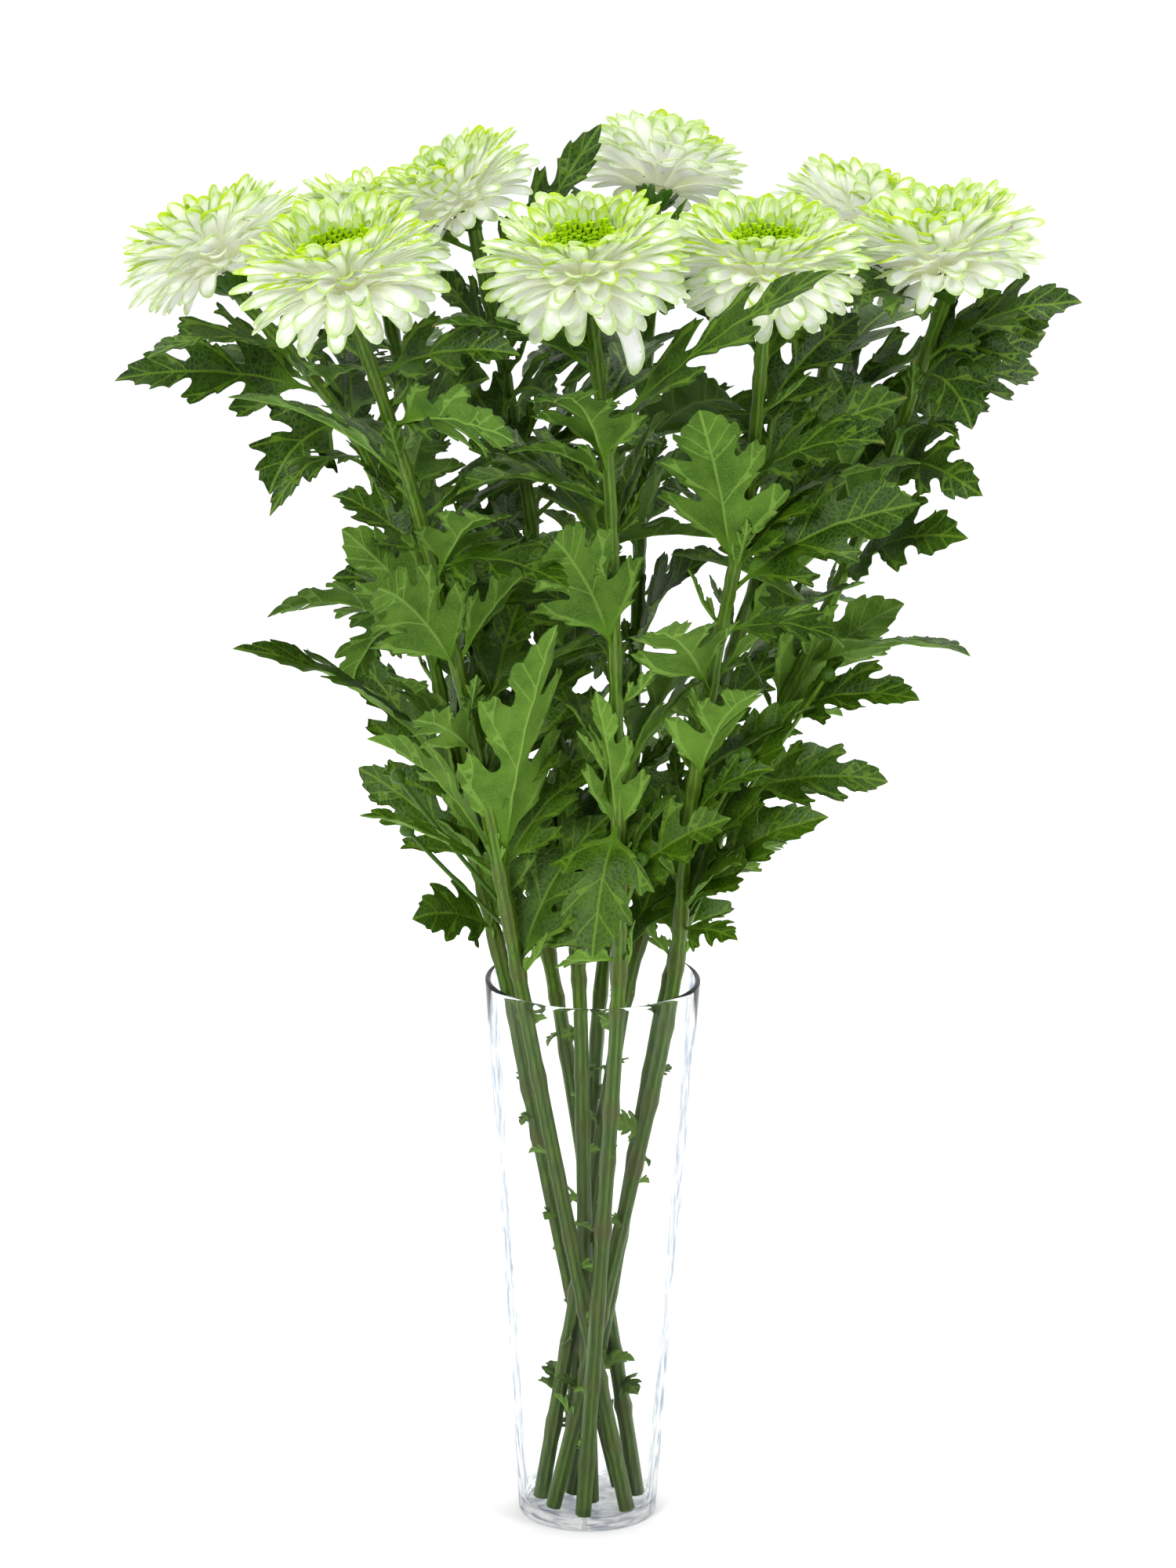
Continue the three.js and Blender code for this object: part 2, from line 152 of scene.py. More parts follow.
def stretched(place, factor):
    return place.node("ShaderNodeMapping", {"Vector": place, "Scale": (1, 1, factor)})


def objectPlace(wire):
    return wire.node("ShaderNodeTexCoord", {}, "Object")


def linked(name, data):
    made = bpy.data.objects.new(name, data)
    bpy.context.scene.collection.objects.link(made)
    return made


def joinedPiece(name, meshes):
    # Several meshes as one object, at the origin, in metres.
    parts = [linked(name, mesh) for mesh in meshes]
    with bpy.context.temp_override(active_object=parts[0], selected_editable_objects=parts):
        bpy.ops.object.join()
    piece = parts[0]
    piece.name = name
    piece.data.name = name
    piece.data.transform(Matrix.Scale(metresPerMm, 4))
    piece.data.shade_smooth()
    piece.data.set_sharp_from_angle(angle=math.radians(creaseAngle))
    return piece


def dress(piece, node):
    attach(piece, "root")
    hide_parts(node)
    print("made", piece.name, len(piece.data.polygons), "faces")


def treeWith(name, floats, whole=("Count", "Seed")):
    # A tree with named inputs: the tree, its inputs as wires and a wire to add nodes with.
    tree = bpy.data.node_groups.new(name, "GeometryNodeTree")
    tree.interface.new_socket("Geometry", in_out="OUTPUT", socket_type="NodeSocketGeometry")
    inputs = {"Geometry": "Geometry", **dict.fromkeys(floats, "Float"), **dict.fromkeys(whole, "Int"),
              "Material": "Material"}
    for label, kind in inputs.items():
        tree.interface.new_socket(label, in_out="INPUT", socket_type="NodeSocket" + kind)
    entry = tree.nodes.new("NodeGroupInput")
    ports = {socket.name: Wire(tree, socket) for socket in entry.outputs if socket.name}
    return tree, ports, Wire(tree)


def endTree(geometry, paint):
    real = geometry.node("GeometryNodeRealizeInstances", {0: geometry})
    painted = real.node("GeometryNodeSetMaterial", {"Geometry": real, "Material": paint})
    leave = geometry.tree.nodes.new("NodeGroupOutput")
    geometry.tree.links.new(painted.socket, leave.inputs[0])


def stored(geometry, name, value, domain):
    values = {"Geometry": geometry, "Name": name, "Value": value}
    return geometry.node("GeometryNodeStoreNamedAttribute", values, data_type="FLOAT", domain=domain)


def named(wire, name):
    return wire.node("GeometryNodeInputNamedAttribute", {"Name": name}, "Attribute", data_type="FLOAT")


def draw(ports, index, salt, low=-1.0, high=1.0):
    return index.node("FunctionNodeRandomValue", {
        "Min": low, "Max": high, "ID": index, "Seed": ports["Seed"] + salt}, "Value", data_type="FLOAT")


def grown(mesh, tree, values):
    # The mesh that a tree makes of another mesh, as plain data. Inputs are set by identifier.
    holder = linked("growing", mesh)
    modifier = holder.modifiers.new("tree", "NODES")
    modifier.node_group = tree
    for item in tree.interface.items_tree:
        if item.item_type == "SOCKET" and item.in_out == "INPUT" and item.name in values:
            modifier[item.identifier] = values[item.name]
    bpy.context.view_layer.update()
    graph = bpy.context.evaluated_depsgraph_get()
    result = bpy.data.meshes.new_from_object(holder.evaluated_get(graph), depsgraph=graph)
    bpy.data.objects.remove(holder)
    return result


def meshOf(name, points, faces, paints=(), faceMaterials=None):
    mesh = bpy.data.meshes.new(name)
    mesh.from_pydata([tuple(point) for point in points], [], faces)
    for paint in paints:
        mesh.materials.append(paint)
    if faceMaterials is not None:
        mesh.polygons.foreach_set("material_index", faceMaterials)
    return mesh


def storeValues(mesh, name, values):
    array = np.asarray(values, dtype=np.float32)
    kind = "FLOAT" if array.ndim == 1 else "FLOAT_VECTOR"
    layer = mesh.attributes.new(name, kind, "POINT")
    layer.data.foreach_set("value" if kind == "FLOAT" else "vector", array.ravel())


def ringPoints(profile, sides):
    turns = [2 * math.pi * side / sides for side in range(sides)]
    return [(radius * math.cos(turn), radius * math.sin(turn), level)
            for radius, level in profile for turn in turns]


def ringFaces(rings, sides, start=0):
    return [(low + side, low + (side + 1) % sides, low + sides + (side + 1) % sides, low + sides + side)
            for low in range(start, start + (rings - 1) * sides, sides) for side in range(sides)]


def turnedMesh(name, profile, sides, paint):
    # A closed solid turned about the upright axis, from a profile that starts and ends on it.
    rings = profile[1:-1]
    points = [(0, 0, profile[0][1]), *ringPoints(rings, sides), (0, 0, profile[-1][1])]
    faces = ringFaces(len(rings), sides, 1)
    last = len(points) - 1
    for side in range(sides):
        after = (side + 1) % sides
        faces += [(0, 1 + after, 1 + side), (last - sides + side, last - sides + after, last)]
    return meshOf(name, points, faces, [paint])


# The camera stands where the photograph was taken from, the studio is pale and softly lit

view = {
    "place": (0.0, -3.45, 1.394), "pitch": 15.98, "roll": 0.6, "shiftPixels": -8.65,
    "focalPixels": 8733, "longSide": 2000, "sensor": 36, "reach": 60,
}
studio = {
    "floorHalf": 12, "floor": {"Base Color": (0.95, 0.95, 0.95, 1), "Roughness": 0.9}, "skyStrength": 1.36,
    "frontSky": (0.15, 0.15, 0.15, 1), "backSky": (1, 1, 1, 1), "skyTurn": (-0.75, 0.15),
    "aim": (0, 0, 0.45),
    "lamps": {  # place, size, power
        "frontLamp": ((-1.3, -2.4, 2.0), 1.0, 56), "sideLamp": ((2.2, -1.4, 1.5), 1.0, 30),
        "topLamp": ((0.2, 0.4, 2.6), 1.2, 24),
    },
}


def makeCamera():
    camera = bpy.data.cameras.new("studioCamera")
    camera.sensor_width = view["sensor"]
    camera.lens = view["focalPixels"] * view["sensor"] / view["longSide"]
    camera.shift_x = view["shiftPixels"] / view["longSide"]
    camera.clip_end = view["reach"]
    tilt = Matrix.Rotation(math.radians(90 - view["pitch"]), 4, "X")
    roll = Matrix.Rotation(math.radians(view["roll"]), 4, "Z")
    holder = linked("studioCamera", camera)
    holder.matrix_world = Matrix.Translation(view["place"]) @ tilt @ roll
    bpy.context.scene.camera = holder


def makeLamp(name, place, size, power):
    lamp = bpy.data.lights.new(name, "AREA")
    lamp.size = size
    lamp.energy = power
    aim = (Vector(studio["aim"]) - Vector(place)).to_track_quat("-Z", "Y")
    linked(name, lamp).matrix_world = Matrix.Translation(place) @ aim.to_matrix().to_4x4()


def makeStudio():
    world = bpy.data.worlds.new("studioSky")
    world.use_nodes = True
    sky = world.node_tree.nodes["Background"]
    sky.inputs["Strength"].default_value = studio["skyStrength"]
    _, away, _ = Wire(world.node_tree).node("ShaderNodeTexCoord", {}, "Generated").split()
    feed(sky, "Color", away.smooth(*studio["skyTurn"]).blend(studio["frontSky"], studio["backSky"]))
    bpy.context.scene.world = world
    bpy.context.scene.view_settings.view_transform = "Standard"
    half = studio["floorHalf"]
    paint, _, _ = material("paleFloor", studio["floor"])
    corners = [(-half, -half, 0), (half, -half, 0), (half, half, 0), (-half, half, 0)]
    linked("floor", meshOf("floor", corners, [(0, 1, 2, 3)], [paint]))
    for name, lamp in studio["lamps"].items():
        makeLamp(name, *lamp)


makeCamera()
makeStudio()
print("camera and studio ready")


# The vase: clear glass with a thick floor and a rounded lip

# The glass is painted dark blue-grey where it is seen edge-on, in streaks up the walls and in arcs round
# the foot: painted shade and reflection.
vase = {
    "height": 300, "baseRadius": 37, "rimRadius": 57, "wall": 3, "floor": 5, "foot": 2.4, "sides": 120,
    "cornerSteps": 6, "wallSteps": 10, "clear": (0.99, 1, 0.995, 1), "edge": (0.06, 0.11, 0.19, 1),
    "roughness": 0.0, "bending": 1.15, "paintedEdgeTurn": (0.52, 0.76), "rippleScale": 22, "streakScale": 240,
    "paintedStreakLevels": (0.4, 0.6), "paintedFootScale": 75, "paintedFootHeights": (0.001, 0.016),
    "paintedFootLevels": (0.48, 0.58), "paintedFootStrength": 0.85, "footAlpha": 0.6, "footTop": 0.0055,
}


def arcPoints(centre, radius, start, end, steps):
    angles = [math.radians(lerp(start, end, k / steps)) for k in range(steps + 1)]
    return [(centre[0] + radius * math.cos(a), centre[1] + radius * math.sin(a)) for a in angles]


def vaseProfile():
    slope = (vase["rimRadius"] - vase["baseRadius"]) / vase["height"]
    lean = math.degrees(math.atan(slope))
    foot, wall, steps = vase["foot"], vase["wall"], vase["cornerSteps"]
    outer = arcPoints((vase["baseRadius"] - foot, foot), foot, -90, -lean, steps)
    lipCentre = (vase["rimRadius"] - wall / 2, vase["height"] - wall / 2)
    lip = arcPoints(lipCentre, wall / 2, -lean, 180 - lean, 2 * steps)
    inner = 2 * foot
    innerCentre = (vase["baseRadius"] - wall + slope * vase["floor"] - inner, vase["floor"] + inner)
    inside = arcPoints(innerCentre, inner, -lean, -90, steps)
    walls = vase["wallSteps"]
    rise = [lerpPoint(outer[-1], lip[0], k / walls) for k in range(1, walls)]
    fall = [lerpPoint(lip[-1], inside[0], k / walls) for k in range(1, walls)]
    return [(0, 0), *outer, *rise, *lip, *fall, *inside, (0, vase["floor"])]


def lerpPoint(first, second, share):
    return tuple(lerp(a, b, share) for a, b in zip(first, second))


def glassMaterial(name, alpha):
    glass, shader, wire = material(name, {
        "Roughness": vase["roughness"], "Transmission Weight": 1, "IOR": vase["bending"], "Alpha": alpha})
    place = objectPlace(wire)
    ripple = noiseOn(place, vase["rippleScale"], 1.0)
    # Painted shade and reflection: dark blue-grey where the glass is seen edge-on, in streaks, and in dark
    # arcs round the foot.
    streaks = noiseOn(stretched(place, 0.3), vase["streakScale"], 3.0).smooth(*vase["paintedStreakLevels"])
    paintedEdgeMask = wire.node("ShaderNodeLayerWeight", {"Blend": 0.5}, "Facing").smooth(*vase["paintedEdgeTurn"])
    low = 1 - place.split()[2].smooth(*vase["paintedFootHeights"])
    paintedFootShade = noiseOn(stretched(place, 5), vase["paintedFootScale"]).smooth(*vase["paintedFootLevels"])
    marks = paintedEdgeMask * (streaks * 0.75 + 0.25) + low * paintedFootShade * vase["paintedFootStrength"]
    finish(shader, marks.maths("MINIMUM", 1.0).blend(vase["clear"], vase["edge"]),
           ripple.smooth(0.55, 0.9) * 0.02 + vase["roughness"], ripple, 0.05, 0.5)
    return glass


def makeVase():
    # The thick foot lets more light straight through, as a cast foot of clear glass does.
    mesh = turnedMesh("glassVase", vaseProfile(), vase["sides"], glassMaterial("clearGlass", 1))
    mesh.materials.append(glassMaterial("clearGlassFoot", vase["footAlpha"]))
    piece = joinedPiece("glassVase", [mesh])
    for face in piece.data.polygons:
        face.material_index = int(max(piece.data.vertices[v].co.z for v in face.vertices) < vase["footTop"])
    dress(piece, "vase")


makeVase()


# Where stems, heads and leaves go. Each course runs from the cut foot to the head. lean is the
# head's axis, sideways and away from the viewer, for every unit of rise.

stems = [
    {"lean": (-0.48, 0.28), "size": 0.95, "course": [
        (17, 17, 6), (-10, 13, 120), (-45, 4, 290), (-69, 14, 388), (-91, 24, 488), (-126, 30, 583),
        (-190, 34, 662)]},
    {"lean": (-0.22, -0.2), "size": 1, "course": [
        (21, -18, 6), (-2, -23, 120), (-35, -29, 290), (-53, -50, 394), (-73, -66, 495),
        (-96, -78, 588), (-124, -86, 675)]},
    {"lean": (-0.1, 0.12), "size": 0.9, "course": [
        (27, 4, 6), (8, 14, 120), (-20, 24, 285), (-39, 44, 367), (-63, 66, 456), (-89, 88, 544),
        (-119, 112, 660)]},
    {"lean": (-0.55, -0.05), "size": 0.85, "course": [
        (2, -7, 6), (-2, -4, 120), (-7, 0, 290), (-15, 10, 377), (-25, 20, 468), (-39, 26, 568),
        (-66, 30, 698)]},
    {"lean": (-0.12, -0.22), "size": 1, "course": [
        (-2, -27, 6), (4, -33, 120), (13, -35, 290), (13, -48, 386), (9, -64, 508), (5, -76, 593),
        (-5, -88, 680)]},
    {"lean": (0.22, 0.5), "size": 0.88, "course": [
        (-10, 22, 6), (-4, 28, 120), (5, 36, 290), (18, 56, 364), (21, 72, 464), (24, 80, 573),
        (28, 84, 698)]},
    {"lean": (-0.02, -0.2), "size": 0.95, "course": [
        (-18, -15, 6), (7, -14, 120), (41, -16, 290), (48, -36, 387), (61, -50, 484), (77, -58, 581),
        (84, -54, 675)]},
    {"lean": (0.3, 0.4), "size": 0.85, "course": [
        (-25, -1, 6), (-7, 4, 120), (19, 18, 290), (46, 46, 375), (78, 70, 478), (111, 84, 573),
        (130, 92, 673)]},
    {"lean": (-0.18, -0.02), "size": 1, "course": [
        (-8, 5, 6), (11, 4, 120), (39, 5, 290), (68, 6, 384), (111, 4, 478), (148, 0, 576),
        (178, -6, 672)]},
]

# Leaves that show in front, each with a place of its own: stem, share of the stem's course where it
# grows, tip, arch, width, turn.
shownLeaves = [
    (1, 0.88, (-250, 5, 620), 30, 62, -60), (1, 0.92, (-230, -40, 640), 50, 40, -20),
    (1, 0.89, (-225, 70, 610), 40, 40, -25), (1, 0.8, (-168, -45, 560), 90, 26, 0),
    (1, 0.85, (-170, 0, 560), 80, 56, -60), (2, 0.75, (-135, -60, 575), 35, 46, -50),
    (2, 0.65, (-130, -90, 565), 25, 58, 70), (1, 0.67, (-128, 22, 450), 80, 46, 60),
    (1, 0.52, (-185, -60, 495), 40, 46, 0), (1, 0.48, (-128, 30, 468), 20, 54, -60),
    (1, 0.44, (-125, 30, 405), 25, 46, -50), (2, 0.45, (-120, -70, 410), 30, 36, -20),
    (1, 0.38, (-95, -30, 340), 50, 50, -40), (2, 0.45, (-20, -105, 520), 25, 76, 0),
    (2, 0.57, (-92, -108, 470), 30, 40, 60), (5, 0.52, (0, -95, 340), 60, 60, 0),
    (5, 0.38, (-20, -60, 325), 20, 26, 40), (5, 0.49, (0, -85, 480), 20, 40, 0),
    (5, 0.46, (70, -75, 410), 30, 50, 45), (7, 0.42, (75, -70, 385), 30, 40, 40),
    (7, 0.38, (105, -40, 465), 30, 76, 70), (9, 0.53, (155, 15, 405), 30, 42, 50),
    (7, 0.4, (75, -60, 340), 20, 30, 40), (9, 0.59, (160, 5, 505), 40, 60, -60),
    (9, 0.63, (180, 66, 468), 40, 36, 20), (9, 0.75, (165, 30, 555), 30, 50, -60),
    (9, 0.92, (190, -50, 610), 90, 50, 50), (9, 0.91, (235, -15, 665), 40, 60, 45),
    (9, 0.89, (230, 40, 620), 40, 50, 50), (9, 0.85, (185, -30, 600), 110, 24, 0),
    (9, 0.81, (120, 30, 625), 30, 60, -50), (9, 0.77, (110, -30, 625), 20, 60, 30),
    (7, 0.75, (50, -95, 630), 20, 76, 0), (5, 0.82, (-45, -110, 610), 50, 36, 0),
    (5, 0.87, (104, -162, 694), 25, 46, 50), (2, 0.88, (-55, -110, 648), 25, 60, 55),
    (4, 0.9, (-84, -22, 684), 20, 42, -60), (4, 0.82, (-82, 14, 632), 25, 50, -70),
    (4, 0.93, (0, 62, 745), 20, 44, 50), (4, 0.9, (-28, 68, 706), 20, 36, 50),
    (6, 0.9, (42, 46, 710), 10, 40, 30),
]

# Leaves of that list that stand otherwise here than in the solids, by their order in it from 0.
moved = {34: {"tip": (114, -162, 716), "arch": 16}}

# The other leaves stand up each stem by the golden angle, where there is room for them.
otherLeaves = {
    "perStem": 7, "first": 0.36, "last": 0.92, "length": 118, "width": 68, "tries": 18, "tryTurn": 47,
    "tryShrink": 0.965, "lowRise": 58, "highRise": 28, "scatter": 14, "arch": 35, "roll": 50, "rollSeed": 7,
    "seed": 0, "closeness": 1, "hides": True,
}

# Smaller leaves fill the bunch between them, and shoots of small leaves sit in their axils.
fillLeaves = {
    **otherLeaves, "perStem": 14, "first": 0.37, "last": 0.98, "length": 98, "width": 56, "tries": 22,
    "tryTurn": 61, "lowRise": 55, "highRise": 10, "scatter": 26, "seed": 50, "closeness": 0.4,
    "hides": False,
}
shoots = {
    **otherLeaves, "perStem": 13, "first": 0.36, "last": 0.95, "length": 34, "width": 15, "tries": 1,
    "lowRise": 70, "highRise": 45, "scatter": 18, "arch": -30, "seed": 90, "closeness": 0, "hides": True,
}
room = {
    "shownStems": (2, 5, 7), "shownHalf": 7, "openings": [(20, 73, 480, 520), (24, 55, 425, 460)],
    "leaf": 11, "stem": 8, "head": 64, "headRise": 24, "rim": 6, "stemPlaces": 80, "linePlaces": 60,
    "shares": (0.32, 0.45, 0.58, 0.71, 0.84, 0.96), "parts": (-0.9, -0.45, 0, 0.45, 0.9),
}


def curveBetween(p1, p2, t1, t2, w):
    # A smooth curve from one place to another that leaves and arrives along two slopes.
    return p1 + t1 * w + (3 * (p2 - p1) - 2 * t1 - t2) * w * w + (2 * (p1 - p2) + t1 + t2) * w ** 3


def pointing(turn, rise):
    return np.array([math.cos(turn) * math.cos(rise), math.sin(turn) * math.cos(rise), math.sin(rise)])


def coursePoint(course, share):
    # A Catmull-Rom curve through the course's places.
    last = len(course) - 1
    start = min(int(last * share), last - 1)
    p1, p2 = np.array(course[start], float), np.array(course[start + 1], float)
    p0 = np.array(course[start - 1], float) if start > 0 else 2 * p1 - p2
    p3 = np.array(course[start + 2], float) if start + 2 <= last else 2 * p2 - p1
    return curveBetween(p1, p2, (p2 - p0) / 2, (p3 - p1) / 2, last * share - start)


def unit(vector):
    return vector / np.linalg.norm(vector)


def headMatrix(stem):
    axis = unit(np.array([*stem["lean"], 1.0]))
    right = unit(np.cross([0, 1, 0], axis))
    back = np.cross(axis, right)
    matrix = np.eye(4)
    matrix[:3, 0], matrix[:3, 1], matrix[:3, 2] = (stem["size"] * side for side in (right, back, axis))
    matrix[:3, 3] = coursePoint(stem["course"], 1)
    return matrix


def leafFrame(leaf, twist=0):
    # A leaf's rib is an arch in the upright plane through its root on the stem and its tip.
    root = coursePoint(stems[leaf["stem"]]["course"], leaf["at"])
    reach = np.array(leaf["tip"], float) - root
    along = unit(reach)
    level = unit(np.cross(along, [0, 0, 1]))
    half = math.radians(leaf["arch"]) / 2
    return {"root": root, "along": along, "level": level, "rise": np.cross(level, along), "half": half,
            "length": np.linalg.norm(reach) * half / math.sin(half), "turn": math.radians(leaf["turn"]),
            "twist": math.radians(twist)}


def bladePoints(blade, share, across, lift):
    # Places on a blade, from arrays: share of length, distance from the rib, height over it.
    half, turn = blade["half"], blade["turn"] + blade["twist"] * share
    chord = blade["length"] * share * np.sinc(half * share / math.pi)
    ahead, high = chord * np.cos(half - half * share), chord * np.sin(half - half * share)
    slope = half * (1 - 2 * share)
    normal = np.outer(np.cos(slope), blade["rise"]) - np.outer(np.sin(slope), blade["along"])
    sideways = across * np.cos(turn) + lift * np.sin(turn)
    upwards = lift * np.cos(turn) - across * np.sin(turn)
    return (blade["root"] + np.outer(ahead, blade["along"]) + np.outer(high, blade["rise"])
            + np.outer(sideways, blade["level"]) + normal * upwards[:, None])


def roomPlaces(leaf):
    shares = np.repeat(room["shares"], len(room["parts"]))
    parts = np.tile(room["parts"], len(room["shares"]))
    across = parts * leaf["width"] / 2 * np.sqrt(np.sin(math.pi * shares))
    return bladePoints(leafFrame(leaf), shares, across, np.zeros(len(shares)))


def clearsAll(places, taken, reaches):
    aside = np.hypot(places[:, 0], places[:, 1])
    if np.any((places[:, 2] <= vase["height"] + room["rim"]) & (aside <= vase["rimRadius"] + room["rim"])):
        return False
    gaps = np.linalg.norm(places[:, None, :] - taken[None, :, :], axis=2)
    return bool(np.all(gaps > reaches[None, :]))


def tryLeaf(rule, s, k, attempt):
    height = k / (rule["perStem"] - 1)
    at = lerp(rule["first"], rule["last"], height)
    root = coursePoint(stems[s]["course"], at)
    heading = math.radians(goldenAngle * (k + s) + rule["tryTurn"] * attempt + 2 * rule["seed"])
    rise = math.radians(lerp(rule["lowRise"], rule["highRise"], height)
                        + rule["scatter"] * scatter(s + rule["seed"], k, attempt))
    size = rule["tryShrink"] ** attempt
    reach = rule["length"] * size * pointing(heading, rise)
    return {"stem": s, "at": at, "tip": root + reach, "arch": rule["arch"], "width": rule["width"] * size,
            "turn": rule["roll"] * scatter(s + rule["seed"], k, rule["rollSeed"])}


def courseLine(course, places):
    return [coursePoint(course, k / places) for k in range(places + 1)]


shownLines = [np.array(courseLine(stems[s - 1]["course"], room["linePlaces"]))
              for s in room["shownStems"]]


def hidesView(places):
    # Whether a leaf would cover a stem that is seen from the front, or a gap that light comes through.
    x, y, z = places.T
    for line in shownLines:
        aside = np.abs(x - np.interp(z, line[:, 2], line[:, 0]))
        if np.any((y < np.interp(z, line[:, 2], line[:, 1])) & (aside < room["shownHalf"])):
            return True
    return any(np.any((x > left) & (x < right) & (z > low) & (z < high))
               for left, right, low, high in room["openings"])


def placeByRule(rule, leaves, points, reaches):
    for s in range(len(stems)):
        for k in range(rule["perStem"]):
            for attempt in range(rule["tries"]):
                leaf = tryLeaf(rule, s, k, attempt)
                places = roomPlaces(leaf)
                if hidesView(places) and not rule["hides"]:
                    continue
                if clearsAll(places, np.array(points), rule["closeness"] * np.array(reaches)):
                    leaves.append(leaf)
                    points.extend(places)
                    reaches.extend([room["leaf"]] * len(places))
                    break


def placeLeaves():
    points, reaches = [], []
    for stem in stems:
        line = courseLine(stem["course"], room["stemPlaces"])
        points.extend(line)
        reaches.extend([room["stem"]] * len(line))
        points.append((headMatrix(stem) @ [0, 0, room["headRise"], 1])[:3])
        reaches.append(room["head"] * stem["size"])
    leaves = [{"stem": stem - 1, "at": at, "tip": tip, "arch": arch, "width": width, "turn": turn}
              for stem, at, tip, arch, width, turn in shownLeaves]
    for leaf in leaves:
        places = roomPlaces(leaf)
        points.extend(places)
        reaches.extend([room["leaf"]] * len(places))
    for rule in (otherLeaves, fillLeaves, shoots):
        placeByRule(rule, leaves, points, reaches)
    for index, change in moved.items():
        leaves[index].update(change)
    return leaves


leaves = placeLeaves()
print("placed", len(leaves), "leaves")


# Leaves: lobed, toothed blades with ribs and side veins, closed above, below and along the rim

largeBlade = {
    "edge": [
        (0, 0.035), (0.08, 0.03), (0.13, 0.045), (0.16, 0.09), (0.195, 0.15), (0.225, 0.28), (0.235, 0.42),
        (0.262, 0.58), (0.27, 0.54), (0.305, 0.65), (0.345, 0.8), (0.352, 0.76), (0.395, 0.9), (0.445, 1),
        (0.452, 0.95), (0.445, 0.88), (0.478, 0.84), (0.488, 0.78), (0.462, 0.66), (0.438, 0.52),
        (0.41, 0.36), (0.4, 0.22), (0.413, 0.17), (0.44, 0.19), (0.47, 0.29), (0.5, 0.4), (0.535, 0.52),
        (0.543, 0.48), (0.58, 0.59), (0.63, 0.72), (0.68, 0.8), (0.69, 0.75), (0.682, 0.68), (0.712, 0.64),
        (0.718, 0.58), (0.692, 0.48), (0.668, 0.36), (0.65, 0.24), (0.655, 0.17), (0.675, 0.15),
        (0.705, 0.2), (0.735, 0.3), (0.77, 0.42), (0.778, 0.38), (0.815, 0.42), (0.856, 0.42), (0.85, 0.32),
        (0.882, 0.29), (0.922, 0.25), (0.924, 0.16), (0.965, 0.08), (1, 0),
    ],
    "veins": [
        ((0.14, 0), (0.44, 0.95)), ((0.2, 0.2), (0.258, 0.54)), ((0.27, 0.44), (0.342, 0.76)),
        ((0.34, 0.65), (0.482, 0.8)), ((0.4, 0), (0.676, 0.76)), ((0.47, 0.19), (0.532, 0.48)),
        ((0.58, 0.5), (0.714, 0.61)), ((0.66, 0), (0.768, 0.39)), ((0.72, 0), (0.852, 0.38)),
        ((0.83, 0), (0.92, 0.22)),
    ],
}
smallBlade = {
    "edge": [
        (0, 0.06), (0.1, 0.05), (0.15, 0.08), (0.2, 0.17), (0.24, 0.34), (0.29, 0.56), (0.3, 0.52),
        (0.35, 0.7), (0.41, 0.88), (0.47, 1), (0.482, 0.94), (0.475, 0.85), (0.515, 0.79), (0.522, 0.71),
        (0.49, 0.55), (0.465, 0.38), (0.47, 0.26), (0.5, 0.24), (0.54, 0.36), (0.6, 0.52), (0.612, 0.48),
        (0.67, 0.63), (0.745, 0.71), (0.755, 0.63), (0.74, 0.5), (0.73, 0.36), (0.75, 0.31), (0.8, 0.4),
        (0.86, 0.41), (0.862, 0.3), (0.91, 0.26), (0.912, 0.17), (0.96, 0.08), (1, 0),
    ],
    "veins": [
        ((0.16, 0), (0.465, 0.95)), ((0.23, 0.17), (0.284, 0.52)), ((0.36, 0.6), (0.512, 0.75)),
        ((0.46, 0), (0.74, 0.67)), ((0.54, 0.18), (0.6, 0.46)), ((0.7, 0), (0.855, 0.36)),
    ],
}
# Leaves low on the stems are paler than high ones: partly age, partly painted light, as if lit from behind.
blade = {
    "smallArch": 80, "fold": 0.26, "wave": 5, "waves": 10, "depth": 0.5, "stalkDepth": 2.6,
    "stalkShare": 0.16, "bareShare": 0.14, "fullWidth": 50, "spacing": 4.2, "edgeSpacing": 3.5,
    "rounding": 0.4, "ribHalf": 0.9, "ribDepth": 1.3, "ribReach": 0.6, "ribFade": 0.8, "ribSpacing": 5,
    "veinSink": 1.1, "veinReach": 2.2, "crinkle": 1.5, "crinkleScale": (0.09, 0.09, 3.7), "curl": 6.0,
    "ripple": 2.2, "rippleScale": (0.035, 0.05, 5.3), "ageAndLightLow": 320, "ageAndLightHigh": 640,
    "filled": 0.3, "filledPart": 0.9, "filledFrom": 0.1, "twist": 40, "tipCurl": 14, "tipFrom": 0.45,
    "tipCurlAt": 118, "heldCurl": 0.2, "narrow": 0.92, "jitterAlong": 0.006, "jitterAcross": 0.05,
}
waveShares = {True: (0, 0.16, 0.3, 0.47, 0.74, 1), False: (0, 0.14, 0.27, 0.42, 0.68, 0.79, 1)}


def edgeLine(shape, index, hand, size):
    # One side of a blade's outline from root to tip, as places in millimetres.
    line = []
    filled = blade["filled"] * chance(index, 2, 6) ** 1.5
    for k, (share, part) in enumerate(shape["edge"]):
        inside = 0.15 < share < 1
        if inside:
            turn = math.pi * (share - blade["filledFrom"]) / (1 - blade["filledFrom"])
            part += filled * max(blade["filledPart"] * math.sin(turn) ** 0.6 - part, 0)
        share += blade["jitterAlong"] * scatter(index, k, hand + 3) * inside
        part *= 1 + blade["jitterAcross"] * scatter(index, k, hand + 7) * inside
        line.append(np.array([share * size[0], hand * part * size[1]]))
    return line


